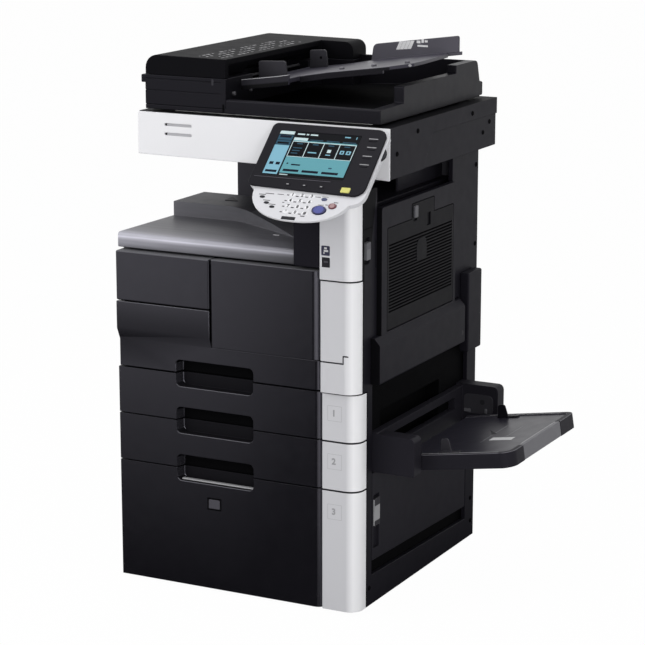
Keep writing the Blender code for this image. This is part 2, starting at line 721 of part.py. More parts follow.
def build_front_covers():
    split = (COVER_SPLIT - 0.001, COVER_SPLIT + 0.001)
    left_span = (FRONT_X[0], DOOR_LEFT - 0.002)
    upper = box("upper_left_cover", left_span, (COVER_FRONT, COVER_BACK), (split[1], COVER_TOP))
    soften(upper, 0.003)
    finish(upper, CHARCOAL, 0.35)

    sill = DOOR_BOTTOM - 0.0025
    lower = plate("lower_left_cover", "xy", (DRAWER_TOPS[0] + SEAM / 2, sill),
                  front_plan(FRONT_X[0], COVER_BACK))
    swell = [(BODY_FRONT, TAPER_BOTTOM), (COVER_FRONT, TAPER_TOP), (COVER_FRONT, split[0]),
             (COVER_BACK, split[0]), (COVER_BACK, sill - 0.008), (BODY_FRONT + 0.004, sill - 0.008)]
    add(lower, plate("swell", "yz", left_span, swell))
    cut(lower, handle_cut(DRAWER_TOPS[0]))
    finish(lower, CHARCOAL, 0.35)

    right = COLUMN_X - SEAM
    plan = rounded([(DOOR_LEFT, COVER_FRONT, 0.0075), (right, COVER_FRONT, EDGE_RADIUS),
                    (right, DOOR_BACK, 0.0), (DOOR_LEFT + 0.006, DOOR_BACK, 0.0),
                    (DOOR_LEFT, DOOR_BACK - 0.013, 0.006)], 6)
    door = plate("front_door", "xy", (DOOR_BOTTOM, COVER_TOP), plan)
    pocket = box("door_pocket", (DOOR_LEFT + 0.030, right - 0.025), (DOOR_POCKET_BACK, DOOR_BACK + PAST),
                 grown((DOOR_BOTTOM, COVER_TOP), -0.015))
    cut(door, pocket)
    finish(door, CHARCOAL, 0.35, 0.0, FRONT_DOOR_HINGE)


# Paper drawers

def build_drawer(index):
    number = str(index + 1)
    low = BODY_BOTTOM if index == 2 else DRAWER_TOPS[index + 1] + SEAM / 2
    high = DRAWER_TOPS[index] - SEAM / 2
    front = plate("drawer_front_" + number, "xy", (low, high), front_plan(BODY_LEFT, DRAWER_BACK))
    soften(front, 0.0015)
    cut(front, handle_cut(DRAWER_TOPS[index]))
    if index < 2:
        cut(front, handle_cut(DRAWER_TOPS[index + 1]))
    else:
        hole = rectangle(grown(BUTTON[0], GAP), grown(BUTTON[1], GAP), 0.003, 3)
        cut(front, plate("button_cut", "xz", (BODY_FRONT - PAST, BODY_FRONT + BUTTON_HOLE_DEPTH), hole))
    finish(front, CHARCOAL, 0.35)

    cap = plate("drawer_cap_" + number, "xy", (low, high), column_outline(BODY_FRONT - 0.002, CAP_SIDE_END))
    finish(cap, WHITE, 0.35)

    floor, ceiling = bay_heights(index)
    floor += GAP
    top = ceiling - BOX_DROP
    tray = box("drawer_box_" + number, BOX_X, (DRAWER_BACK + GAP, BOX_REAR), (floor, top))
    cut(tray, box("inside_cut", grown(BOX_X, -BOX_WALL), (DRAWER_BACK + 0.006, BOX_REAR - BOX_WALL),
                  (floor + BOX_WALL, top + PAST)))
    notch_y, notch_depth = FEED_NOTCH
    cut(tray, box("feed_cut", grown((BOX_X[1], BOX_X[1]), 0.01), notch_y, (top - notch_depth, top + PAST)))
    finish(tray, BLACK, 0.6)

    tipping = index < 2
    left = LIFT_HINGE_X if tipping else BOX_X[0] + 0.0055
    bottom = floor + BOX_WALL + GAP
    lift = plate("lift_plate_" + number, "xy", (bottom, bottom + LIFT_THICKNESS),
                 rectangle((left, BOX_X[1] - 0.0075), LIFT_Y, 0.006, 3), [rectangle(*LIFT_WINDOW, 0.006, 3)])
    origin = (left, sum(LIFT_Y) / 2, bottom) if tipping else None
    finish(lift, STEEL, 0.4, 0.8, origin)


def build_release_button():
    button = plate("release_button", "xz", (BODY_FRONT - 0.001, BODY_FRONT + 0.008),
                   rectangle(*BUTTON, 0.003, 3))
    soften(button, 0.0008, 1)
    finish(button, GREY, 0.4)


# Imaging parts inside the engine bay

def build_engine():
    toner_centre = (TONER_X, LASER_TOP + TONER_RADIUS - TONER_SINK)
    laser = box("laser_unit", *LASER, (ENGINE_Z[0] + GAP, LASER_TOP))
    cut(laser, rod("cradle_cut", "y", grown(LASER[1], PAST), toner_centre, TONER_RADIUS + GAP, 32))
    finish(laser, BLACK, 0.6)

    drum_profile = [(DRUM_SHAFT_Y[0], DRUM_SHAFT), (DRUM_Y[0], DRUM_SHAFT), (DRUM_Y[0], DRUM_RADIUS),
                    (DRUM_Y[1], DRUM_RADIUS), (DRUM_Y[1], DRUM_SHAFT), (DRUM_SHAFT_Y[1], DRUM_SHAFT)]
    drum = turned("drum", drum_profile, DRUM_CENTRE)
    finish(drum, DRUM_BLUE, 0.15, 0.0, (DRUM_CENTRE[0], 0.0, DRUM_CENTRE[1]))

    front, rear = TONER_Y
    bottle = [(front - 0.020, 0.028), (front, 0.030), (front, TONER_RADIUS - 0.004),
              (front + 0.005, TONER_RADIUS)]
    for step in range(TONER_GROOVES):
        y = front + 0.045 + TONER_PITCH * step
        bottle += [(y, TONER_RADIUS), (y + 0.004, TONER_RADIUS - 0.003), (y + 0.010, TONER_RADIUS - 0.003),
                   (y + 0.014, TONER_RADIUS)]
    bottle += [(rear - 0.005, TONER_RADIUS), (rear, TONER_RADIUS - 0.005)]
    toner = turned("toner_bottle", bottle, toner_centre)
    finish(toner, LIGHT_GREY, 0.4, 0.0, (toner_centre[0], 0.0, toner_centre[1]))

    fuser_z = (FUSER_BOTTOM, ENGINE_Z[1] - GAP)
    fuser = box("fuser_unit", *FUSER, fuser_z)
    soften(fuser, 0.004)
    cut(fuser, box("nip_cut", *NIP, grown(fuser_z, PAST)))
    finish(fuser, GREY, 0.5)


# Scanner

def build_scanner_housing():
    housing = box("scanner_housing", SCAN_X, SCAN_Y, SCAN_Z)
    top = SCAN_Z[1]
    cut(housing, box("belly_cut", *SCAN_BELLY))
    cut(housing, box("cavity_cut", *SCAN_CAVITY))
    cut(housing, box("window_cut", grown(GLASS_X, -GLASS_LEDGE), grown(GLASS_Y, -GLASS_LEDGE),
                     (top - PAST, top + PAST)))
    cut(housing, box("rebate_cut", grown(GLASS_X, GAP), grown(GLASS_Y, GAP),
                     (top - GLASS_THICKNESS - GAP, top + PAST)))
    (y_high, z_high), (y_low, z_low) = FACET
    behind = SCAN_Y[1] + PAST
    facet = [(y_high, z_high), (behind, z_high), (behind, z_low), (y_low, z_low)]
    cut(housing, plate("facet_cut", "yz", (SCAN_X[1] - FACET_DEPTH, SCAN_X[1] + PAST), facet))
    for x in KNUCKLES:
        post = box("hinge_post", (x - 0.020, x + 0.020), (0.334, 0.360), (top - 0.0005, top + 0.020))
        cut(post, box("knuckle_gap", (x - KNUCKLE_HALF - 0.0005, x + KNUCKLE_HALF + 0.0005), (0.30, 0.40),
                      (top + 0.0005, top + PAST)))
        add(housing, post)
        add(housing, rod("hinge_pin", "x", (x - 0.015, x + 0.015), FEED_HINGE[1:], FEED_PIN, 12))
    finish(housing, BLACK)


def build_scanner():
    build_scanner_housing()

    left = SCAN_X[0] - 0.001
    right = SCAN_X[1]
    high = SCAN_Z[1] - 0.001
    low = SCAN_BELLY[2][1]
    outline = [(left, low), (0.0, low - 0.002), (right, low - 0.016), (right, high), (left, high)]
    slots = [rectangle(FRONT_SLOT_X, (z - FRONT_SLOT_HALF, z + FRONT_SLOT_HALF), 0.0025, 3)
             for z in FRONT_SLOT_Z]
    panel = plate("scanner_front_panel", "xz", (SCAN_Y[0] - PANEL_THICKNESS, SCAN_Y[0] - GAP), outline, slots)
    y, z = PANEL_PIVOT[1:]
    reach = SCAN_Y[0] - 0.004
    ear = rounded([(y - 0.004, z - 0.004, 0.0035), (reach, z - 0.004, 0.0), (reach, z + 0.004, 0.0),
                   (y - 0.004, z + 0.004, 0.0035)], 4)
    for ear_x in EARS:
        add(panel, plate("panel_ear", "yz", (ear_x - EAR_HALF, ear_x + EAR_HALF), ear))
    cut(panel, rod("ear_hole", "x", grown(EARS, 0.0035), (y, z), TILT_PIN + GAP, 12))
    finish(panel, WHITE, 0.35)

    glass = box("platen_glass", GLASS_X, GLASS_Y, (SCAN_Z[1] - GLASS_THICKNESS, SCAN_Z[1] - 0.0005))
    finish(glass, GLASS_GREEN, 0.05)

    floor, shoulder, top = CARRIAGE_Z
    section = [(CARRIAGE_X - CARRIAGE_HALF, floor), (CARRIAGE_X + CARRIAGE_HALF, floor),
               (CARRIAGE_X + CARRIAGE_HALF, shoulder), (CARRIAGE_X + CARRIAGE_HALF / 3, top),
               (CARRIAGE_X - CARRIAGE_HALF, top)]
    carriage = plate("scan_carriage", "xz", CARRIAGE_Y, section)
    finish(carriage, STEEL, 0.4, 0.8)


# Document feeder

def build_feeder_base():
    front, rear = FEED_Y
    side = rounded([(front, FEED_BOTTOM, 0.0), (rear, FEED_BOTTOM, 0.0), (rear, 1.066, 0.02),
                    (rear - 0.014, 1.113, 0.014), (0.200, 1.113, 0.003), (0.200, 1.095, 0.003),
                    (-0.068, 1.097, 0.004), (-0.068, 1.0615, 0.003), (front, 1.0605, 0.004)], 3)
    base = plate("feeder_base", "yz", FEED_X, side)
    sky = HEAD_TOP + PAST
    cut(base, box("head_space", (FEED_X[0] - PAST, HEAD_RIGHT + GAP), grown(FEED_Y, PAST), (HEAD_FLOOR, sky)))
    cut(base, box("arm_space", (HEAD_RIGHT, ARM_RIGHT + GAP), (ARM_FRONT - GAP, rear + PAST),
                  (HEAD_FLOOR, sky)))
    basin_left = HEAD_RIGHT - 0.001
    basin = [(basin_left, BASIN_Z[0]), (BASIN_RIGHT, BASIN_Z[1]), (BASIN_RIGHT, sky), (basin_left, sky)]
    cut(base, plate("basin_cut", "xz", BASIN_Y, basin))
    low = FEED_BOTTOM + 0.001
    _, hinge_y, hinge_z = FEED_HINGE
    shape = rounded([(rear - 0.012, low, 0.0), (hinge_y + 0.006, low, 0.005),
                     (hinge_y + 0.006, hinge_z + 0.006, 0.005), (rear - 0.012, hinge_z + 0.002, 0.0)], 3)
    for x in KNUCKLES:
        knuckle = plate("knuckle", "yz", (x - KNUCKLE_HALF, x + KNUCKLE_HALF), shape)
        cut(knuckle, rod("knuckle_hole", "x", (x - 0.02, x + 0.02), FEED_HINGE[1:], FEED_PIN + GAP, 12))
        add(base, knuckle)
    hinge_cover = box("hinge_cover", *HINGE_COVER)
    soften(hinge_cover, 0.004)
    add(base, hinge_cover)
    finish(base, BLACK, 0.45, 0.0, FEED_HINGE)


def build_feeder_head():
    left = FEED_X[0]
    front, rear = FEED_Y
    sky = HEAD_TOP + PAST
    plan = [(left, front), (HEAD_RIGHT, front), (HEAD_RIGHT, ARM_FRONT), (ARM_RIGHT, ARM_FRONT),
            (ARM_RIGHT, rear), (left, rear)]
    head = plate("feeder_head", "xy", (HEAD_FLOOR + GAP, HEAD_SPLIT), plan)
    cut(head, box("roller_well", (-0.130, HEAD_RIGHT + PAST), ROLLER_WELL, (1.082, sky)))
    cut(head, box("lever_slot", (left - PAST, FEED_LEVER[0][1] + GAP), grown(FEED_LEVER[1], GAP),
                  (FEED_LEVER[2][0] - 0.007, sky)))
    for z in HEAD_LINES:
        cut(head, box("front_line", (left - PAST, HEAD_RIGHT - 0.012), (front - PAST, front + 0.0015),
                      (z, z + 0.002)))
    finish(head, BLACK)

    low = HEAD_SPLIT + GAP
    section = rounded([(TOP_COVER_HINGE[0], low, 0.0), (ARM_RIGHT, low, 0.0), (ARM_RIGHT, ARM_TOP, 0.020),
                       (TOP_COVER_HINGE[0], HEAD_TOP, 0.028)], 6)
    top = plate("feeder_top_cover", "xz", (front + 0.0005, rear), section)
    cut(top, box("arm_cut", (HEAD_RIGHT, ARM_RIGHT + PAST), (front - PAST, ARM_FRONT), (low - PAST, sky)))
    throat = [(HEAD_RIGHT - THROAT_DEPTH, low - 0.004), (HEAD_RIGHT + PAST, low - 0.004),
              (HEAD_RIGHT + PAST, THROAT_TOP), (HEAD_RIGHT, THROAT_TOP)]
    cut(top, plate("throat_cut", "xz", (front + HEAD_WALL, ARM_FRONT - HEAD_WALL), throat))
    cut(top, box("cover_well", (-0.140, 0.0), ROLLER_WELL, (low - 0.004, low + 0.0156)))
    finish(top, BLACK, 0.45, 0.0, TOP_COVER_HINGE)


def build_feeder_parts():
    lever = box("feeder_lever", *FEED_LEVER)
    soften(lever, 0.002)
    finish(lever, BLACK)

    shaft_y = grown(ROLLER_WELL, -GAP)
    profile = [(shaft_y[0], ROLLER_SHAFT), (ROLLER_TREAD[0], ROLLER_SHAFT), (ROLLER_TREAD[0], ROLLER_RADIUS),
               (ROLLER_TREAD[1], ROLLER_RADIUS), (ROLLER_TREAD[1], ROLLER_SHAFT), (shaft_y[1], ROLLER_SHAFT)]
    roller = turned("feed_roller", profile, ROLLER_CENTRE, 20)
    finish(roller, GREY, 0.8, 0.0, (ROLLER_CENTRE[0], sum(ROLLER_WELL) / 2, ROLLER_CENTRE[1]))

    pad = box("platen_pad", *PAD, (SCAN_Z[1] + GAP, FEED_BOTTOM - GAP))
    finish(pad, WHITE, 0.8)


def surface_height(x):
    """Height of the document tray's upper side at x."""
    for (x0, z0), (x1, z1) in zip(TRAY_SURFACE, TRAY_SURFACE[1:]):
        if x <= x1:
            return z0 + (z1 - z0) * (x - x0) / (x1 - x0)
    return TRAY_SURFACE[-1][1]


def surface_bar(name, span_x, span_y, above, below):
    """A bar across the document tray that follows its upper side."""
    xs = [span_x[0]] + [x for x, _ in TRAY_SURFACE if span_x[0] < x < span_x[1]] + [span_x[1]]
    upper = [(x, surface_height(x) + above) for x in xs]
    lower = [(x, surface_height(x) - below) for x in reversed(xs)]
    return plate(name, "xz", span_y, upper + lower)


def build_document_tray():
    front, rear = DOC_TRAY_Y
    right = TRAY_SURFACE[-1][0]
    lower = [(x, z - TRAY_THICKNESS) for x, z in reversed(TRAY_SURFACE)]
    tray = plate("document_tray", "xz", DOC_TRAY_Y, list(TRAY_SURFACE) + lower)
    add(tray, rod("tray_barrel", "y", DOC_TRAY_Y, (DOC_HINGE[0], DOC_HINGE[2]), DOC_BARREL, 16))
    wing = rounded([(WING_X[0], surface_height(WING_X[0]) - 0.004, 0.0),
                    (WING_X[1], surface_height(WING_X[1]) - 0.004, 0.0), (WING_X[1], WING_Z[1], 0.004),
                    (WING_X[0] + 0.006, WING_Z[0], 0.012)], 4)
    add(tray, plate("rear_wing", "xz", (rear - WING_THICKNESS, rear + 0.0005), wing))
    corner = [(0.200, front - 0.012), (right + 0.013, front - 0.012), (right + 0.013, front + 0.058),
              (right, front + 0.033), (0.255, front), (0.200, front - 0.0005)]
    cut(tray, plate("corner_cut", "xy", (1.05, 1.20), corner))
    cut(tray, plate("end_cut", "xy", (1.05, 1.20), TRAY_END))
    add(tray, surface_bar("apron", APRON_X, (APRON_FRONT + LAP, front + LAP), 0.0, APRON_DEPTH))
    add(tray, surface_bar("apron_rim", APRON_X, (APRON_FRONT, APRON_FRONT + RIM_WIDTH), *APRON_RIM))
    add(tray, surface_bar("front_rim", FRONT_RIM_X, (front + GAP, front + RIM_WIDTH), -0.001, FRONT_RIM_DEPTH))
    finish(tray, GREY, 0.4, 0.0, DOC_HINGE)
    for name, y in GUIDE_Y.items():
        left, end = GUIDE_X[name]
        outline = rounded([(left, surface_height(left) + GAP, 0.0), (end, surface_height(end) + GAP, 0.0),
                           (end - 0.004, GUIDE_TOP, 0.006), (left, GUIDE_TOP - 0.003, 0.004)], 3)
        guide = plate(name, "xz", (y - GUIDE_HALF, y + GUIDE_HALF), outline)
        finish(guide, CHARCOAL)


# Control panel, drawn flat in its own leaning frame

def slope(points):
    """Outline in the panel's frame from points given as x and distance s down the slope."""
    return [(x, PIVOT_S - s) for x, s in points]


def panel_plate(name, low, high, points, holes=()):
    """A plate in the panel's frame between two heights above its face."""
    return plate(name, "xy", (FACE + low, FACE + high), slope(points), [slope(hole) for hole in holes], PANEL)


def build_panel_shell():
    left, right = RIM_X
    top, bottom = RIM_S
    rim = rounded([(left, top, 0.014), (right, top, 0.026), (right, bottom, 0.030),
                   (0.230, bottom + 0.013, 0.0), (0.100, bottom + 0.010, 0.0), (0.076, bottom - 0.014, 0.0),
                   (left, bottom - 0.032, 0.010)], 5)
    shell = panel_plate("panel_shell", -SHELL_DEPTH, 0.0, rim)
    add(shell, panel_plate("key_deck", -SHELL_DEPTH, 0.0, oval(DECK_MIDDLE, DECK_HALF, 40, 2.3)))
    soften(shell, 0.003, 2, 50)
    cut(shell, plate("back_chamfer", "yz", grown(RIM_X, PAST), BACK_CHAMFER, (), PANEL))
    cut(shell, plate("deck_chamfer", "yz", grown(RIM_X, PAST), DECK_CHAMFER, (), PANEL))
    add(shell, panel_plate("back_box", -BACK_BOX_DEPTH, 0.002 - SHELL_DEPTH, rectangle(*BACK_BOX)))
    add(shell, rod("tilt_barrel", "x", grown(EARS, -EAR_HALF - GAP), (0.0, 0.0), TILT_BARREL, 12, PANEL))
    add(shell, rod("tilt_pin", "x", grown(EARS, 0.003), (0.0, 0.0), TILT_PIN, 12, PANEL))
    for middle, half in ((START_KEY, START_HALF), (STOP_KEY, STOP_HALF)):
        well = oval(middle, (half[0] + GAP, half[1] + GAP), 24)
        cut(shell, panel_plate("key_cut", -KEY_WELL, PAST, well))
    dial_way = oval(DIAL_CENTRE, (DIAL_RADIUS + 0.001, DIAL_RADIUS + 0.001), 32)
    cut(shell, panel_plate("dial_cut", -DIAL_SPAN[0] - GAP, GAP - DIAL_SPAN[1], dial_way))
    finish(shell, WHITE, 0.35)


def build_panel_bezel():
    left, right = BEZEL_X
    top, bottom = BEZEL_S
    outline = rounded([(left, top, 0.012), (right, top, 0.022), (right + 0.002, bottom, 0.024),
                       (left, bottom - 0.008, 0.012)], 5)
    window = rectangle(SCREEN_X, SCREEN_S, 0.002, 2)
    key_hole = rectangle(grown(YELLOW_X, GAP), grown(YELLOW_S, GAP), 0.0015, 2)
    bezel = panel_plate("panel_bezel", GAP, BEZEL_DEPTH, outline, [window, key_hole])
    finish(bezel, BLACK, 0.3)
    glass = rectangle(grown(SCREEN_X, -GAP), grown(SCREEN_S, -GAP), 0.002, 2)
    screen = panel_plate("touch_screen", GAP, BEZEL_DEPTH - SCREEN_SINK, glass)
    finish(screen, SCREEN_BLUE, 0.15)


def build_panel_keys():
    start = panel_plate("start_key", -KEY_BASE, 0.0025, oval(START_KEY, START_HALF, 24))
    soften(start, 0.0012, 2, 50)
    finish(start, START_BLUE, 0.3)
    stop = panel_plate("stop_key", -KEY_BASE, 0.0020, oval(STOP_KEY, STOP_HALF, 20))
    soften(stop, 0.0010, 1, 50)
    finish(stop, STOP_RED, 0.3)
    yellow = panel_plate("yellow_key", 0.0018, BEZEL_DEPTH + 0.0012, rectangle(YELLOW_X, YELLOW_S, 0.0015, 2))
    finish(yellow, KEY_YELLOW, 0.4)
    centre = slope([DIAL_CENTRE])[0]
    dial = rod("brightness_dial", "z", (FACE - DIAL_SPAN[0], FACE - DIAL_SPAN[1]), centre, DIAL_RADIUS, 32,
               PANEL)
    finish(dial, GREY, 0.5, 0.0, centre + (FACE - sum(DIAL_SPAN) / 2,))


# Right side: side door and louvred duplex cover

def flap_outline(grow, bottom):
    """The duplex cover's outline with the tab on its top edge, grown by a margin."""
    left, right = grown(FLAP_Y, grow)
    tab_left, tab_right = grown(TAB_Y, grow)
    top = FLAP_Z[1] + grow
    tab_top = TAB_TOP + grow
    return rounded([(left, bottom, 0.002), (right, bottom, 0.002), (right, top, 0.004), (tab_right, top, 0.0),
                    (tab_right, tab_top, 0.004), (tab_left, tab_top, 0.004), (tab_left, top, 0.0),
                    (left, top, 0.004)], 3)


def build_side_door():
    (front, rear), (low, high) = SIDE_DOOR
    outline = rounded([(front, low, 0.0), (rear, low, 0.0), (rear, high, 0.006), (front, high, 0.006)], 4)
    door = plate("side_door", "yz", SIDE_X, outline, [flap_outline(0.0013, FLAP_Z[0] - 0.0025)])
    inner, outer = BULGE_X
    bottom, shoulder, top = BULGE_Z
    bulge = rounded([(inner, bottom, 0.0), (outer, bottom, 0.004), (outer, shoulder, 0.008),
                     (SIDE_X[1] - 0.0005, top, 0.0), (inner, top, 0.0)], 4)
    add(door, plate("bulge", "xz", BULGE_Y, bulge))
    add(door, box("duplex_path", *DUPLEX_PATH))
    hinge = (FLAP_HINGE[0], FLAP_HINGE[2])
    cut(door, rod("flap_pin_hole", "y", grown(FLAP_Y, 0.0065), hinge, FLAP_PIN + GAP, 10))
    finish(door, CHARCOAL, 0.45, 0.0, SIDE_HINGE)

    latch = plate("side_latch", "yz", (SIDE_X[0] + GAP, SIDE_X[0] + 0.0085), rectangle(*SIDE_LATCH, 0.002, 3))
    soften(latch, 0.0012, 1)
    finish(latch, LIGHT_GREY)


def build_duplex_cover():
    outer = SIDE_X[1]
    flap = plate("duplex_cover", "yz", (FLAP_BACK, outer), flap_outline(0.0, FLAP_Z[0]))
    pitch = (LOUVRE_Z[1] - LOUVRE_Z[0]) / LOUVRES
    inside = FLAP_BACK - LOUVRE_LEAN
    outside = outer + LOUVRE_LEAN
    for row in range(LOUVRES):
        z = LOUVRE_Z[0] + pitch * (row + 0.5)
        high = z + LOUVRE_LEAN
        low = z - LOUVRE_LEAN
        slot = [(inside, high - LOUVRE_HALF), (outside, low - LOUVRE_HALF), (outside, low + LOUVRE_HALF),
                (inside, high + LOUVRE_HALF)]
        cut(flap, plate("louvre_cut", "xz", LOUVRE_Y, slot))
    (left, right), (bottom, top) = GRILLE_PLATE
    arch = rounded([(left, bottom, 0.002), (right, bottom, 0.002), (right, top, 0.018),
                    (left, top, 0.018)], 4)
    add(flap, plate("grille_plate", "yz", (FLAP_BACK + 0.0005, outer + 0.0005), arch))
    add(flap, rod("flap_pin", "y", grown(FLAP_Y, 0.005), (FLAP_HINGE[0], FLAP_HINGE[2]), FLAP_PIN, 10))
    lever_y, lever_z = DUPLEX_LEVER
    cut(flap, box("lever_cut", (FLAP_BACK + 0.0018, outer + PAST), grown(lever_y, GAP),
                  (lever_z[0] - LEVER_TRAVEL, lever_z[1] + GAP)))
    cut(flap, box("slot_cut", (FLAP_BACK + 0.002, outer + PAST), *FLAP_SLOT))
    finish(flap, CHARCOAL, 0.45, 0.0, FLAP_HINGE)

    lever = box("duplex_lever", (FLAP_BACK + 0.0022, outer + 0.004), lever_y, lever_z)
    soften(lever, 0.0012, 1)
    finish(lever, LIGHT_GREY)


def build_lower_door():
    (front, rear), (low, high) = LOWER_DOOR
    outline = rounded([(front, low + DOOR_SLANT, 0.002), (rear, low - DOOR_SLANT, 0.002), (rear, high, 0.002),
                       (front, high, 0.002)], 2)
    door = plate("lower_side_door", "yz", (LOWER_INNER, BODY_RIGHT), outline)
    latch_y, latch_z = LOWER_LATCH
    pocket = rectangle(grown(latch_y, GAP), LATCH_POCKET_Z, 0.002, 2)
    cut(door, plate("latch_pocket", "yz", (LOWER_INNER + 0.0025, BODY_RIGHT + PAST), pocket))
    finish(door, CHARCOAL, 0.45, 0.0, LOWER_HINGE)
    latch = plate("lower_latch", "yz", (LOWER_INNER + 0.0029, BODY_RIGHT + 0.0025),
                  rectangle(latch_y, latch_z, 0.002, 3))
    soften(latch, 0.0012, 1)
    finish(latch, LIGHT_GREY)


# Bypass

def build_bypass_frame():
    back, face = BYPASS_X
    low = BYPASS_Z[0]
    frame = box("bypass_frame", BYPASS_X, (CHEEK_FRONT[0], CHEEK_REAR[1]), BYPASS_Z)
    cut(frame, box("mouth_cut", grown(BYPASS_X, 0.012), *MOUTH))
    for span, top in zip((CHEEK_FRONT, CHEEK_REAR), CHEEK_TOPS):
        cheek = rounded([(back, low, 0.0), (CHEEK_X, low, 0.004), (CHEEK_X, top, 0.012), (back, top, 0.0)], 4)
        add(frame, plate("cheek", "xz", span, cheek))
    pivot = (BYPASS_PIVOT[0], BYPASS_PIVOT[2])
    cut(frame, rod("pivot_hole", "y", PIVOT_HOLE_Y, pivot, PIVOT_PIN + GAP, 16))
    finish(frame, BLACK)


def tray_outline(left, margin, front_radius, rear_radius, steps):
    """Plan of the bypass tray, drawn in by a margin on its three free sides."""
    right = TRAY_X[1] - margin
    front, rear = grown(TRAY_Y, -margin)
    return rounded([(left, front, 0.0), (right, front, front_radius), (right, rear, rear_radius),
                    (left, rear, 0.0)], steps)


def build_bypass_tray():
    reach = TRAY_X[1]
    tray = plate("bypass_tray", "xy", (-TRAY_HALF, TRAY_HALF), tray_outline(TRAY_X[0], 0.0, 0.030, 0.020, 6),
                 parent=BYPASS)
    soften(tray, 0.002, 2, 60)
    add(tray, rod("tray_pin", "y", grown(PIVOT_HOLE_Y, -0.001), (0.0, 0.0), PIVOT_PIN, 16, BYPASS))
    cut(tray, plate("hollow_cut", "xy", (-TRAY_HALF - PAST, TRAY_HALF - TRAY_SKIN),
                    tray_outline(0.012, 0.004, 0.026, 0.016, 4), parent=BYPASS))
    cut(tray, plate("surface_cut", "xy", (TRAY_HALF - TRAY_RECESS, TRAY_HALF + PAST),
                    tray_outline(-PAST, 0.012, 0.020, 0.012, 4), parent=BYPASS))
    cut(tray, box("extension_cut", (reach - EXTENSION_DEPTH - 0.0005, reach + PAST), grown(EXTENSION_Y, GAP),
                  (-PAST, PAST), BYPASS))
    finish(tray, BLACK)

    extension = box("bypass_extension", (reach - EXTENSION_DEPTH, reach), EXTENSION_Y,
                    (-TRAY_HALF, TRAY_HALF), BYPASS)
    soften(extension, 0.0025)
    start, low, high = TONGUE
    add(extension, box("tongue", (start, reach - 0.006), grown(EXTENSION_Y, -0.012),
                       (TRAY_HALF - low, TRAY_HALF - high), BYPASS))
    finish(extension, GREY, 0.4)

    surface = TRAY_HALF - TRAY_RECESS + GAP
    (foot_left, foot_right), (top_left, top_right) = GUIDE_WALL
    wall = rounded([(foot_left, surface, 0.0), (foot_right, surface, 0.0),
                    (top_right, surface + GUIDE_HEIGHT, 0.006), (top_left, surface + GUIDE_HEIGHT, 0.006)], 3)
    for name, (y, side) in BYPASS_GUIDES.items():
        guide = plate(name, "xz", (y - 0.002, y + 0.002), wall, parent=BYPASS)
        toe = sorted((y, y + side * 0.012))
        add(guide, box("guide_foot", GUIDE_FOOT, toe, (surface, surface + 0.003), BYPASS))
        finish(guide, CHARCOAL)


def main():
    build_chassis()
    build_left_cover()
    build_rear_cover()
    build_right_cover()
    build_rear_column()
    build_exit_housing()
    build_output_tray()
    build_columns()
    build_front_covers()
    for index in range(3):
        build_drawer(index)
    build_release_button()
    build_engine()
    build_scanner()
    build_feeder_base()
    build_feeder_head()
    build_feeder_parts()
    build_document_tray()
    build_panel_shell()
    build_panel_bezel()
    build_panel_keys()
    build_side_door()
    build_duplex_cover()
    build_lower_door()
    build_bypass_frame()
    build_bypass_tray()


main()
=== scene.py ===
"""Looks for a floor-standing office photocopier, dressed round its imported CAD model."""
import json
import math

import bmesh
import bpy
from mathutils import Matrix, Vector


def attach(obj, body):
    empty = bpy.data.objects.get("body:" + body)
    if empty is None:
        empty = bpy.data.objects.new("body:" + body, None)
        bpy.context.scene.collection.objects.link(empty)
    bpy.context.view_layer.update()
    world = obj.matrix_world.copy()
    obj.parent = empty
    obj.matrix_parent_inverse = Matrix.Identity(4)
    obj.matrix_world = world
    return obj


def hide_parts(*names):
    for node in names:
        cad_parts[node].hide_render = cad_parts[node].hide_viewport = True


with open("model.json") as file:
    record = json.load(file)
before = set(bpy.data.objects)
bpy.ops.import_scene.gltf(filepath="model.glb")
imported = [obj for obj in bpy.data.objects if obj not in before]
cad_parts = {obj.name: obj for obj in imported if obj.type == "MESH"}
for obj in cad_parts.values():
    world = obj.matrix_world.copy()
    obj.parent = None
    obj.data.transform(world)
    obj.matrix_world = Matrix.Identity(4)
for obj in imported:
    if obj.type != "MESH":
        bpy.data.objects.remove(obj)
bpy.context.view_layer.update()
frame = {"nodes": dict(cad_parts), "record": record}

# Places are written from the middle of the machine's body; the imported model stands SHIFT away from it
SHIFT = Vector((-0.1497, 0.0081, 0.0))

# Camera, fitted to the machine's own edges
CAMERA_AT = (2.1765, -4.4026, 1.7028)
CAMERA_AZIMUTH = 27.203
CAMERA_ELEVATION = 13.0386
CAMERA_LENS = 128.795

# Control panel: x runs across it, s down its slope from the top edge, w out of its face
PANEL_LEAN = math.radians(42.5)
PANEL_TOP = Vector((0.0, -0.2025, 1.0225))
PANEL_FRAME = Matrix.Translation(PANEL_TOP + SHIFT) @ Matrix.Rotation(PANEL_LEAN, 4, "X")
SCREEN_X = (0.0765, 0.2645)
SCREEN_S = (0.0215, 0.1385)
SCREEN_FACE = 0.0038

# Bypass tray: drawn flat about its pivot, tipped up
BYPASS_PIVOT = Vector((0.345, 0.0, 0.316))
BYPASS_TIP = math.radians(9.0)
BYPASS_FRAME = Matrix.Translation(BYPASS_PIVOT + SHIFT) @ Matrix.Rotation(-BYPASS_TIP, 4, "Y")
TRAY_FLOOR = 0.014

# Faces of the machine as flat drawing boards: (x, y, out of the face)
FRONT_BOARD = Matrix.Translation(SHIFT) @ Matrix.Rotation(math.pi / 2, 4, "X")
RIGHT_BOARD = Matrix.Translation(SHIFT) @ Matrix(((0, 0, 1, 0), (1, 0, 0, 0), (0, 1, 0, 0), (0, 0, 0, 1)))
TOP_BOARD = Matrix.Translation(SHIFT)

PRINT_THICKNESS = 0.00012
FIGURE_WEIGHT = 0.045


# Finishes

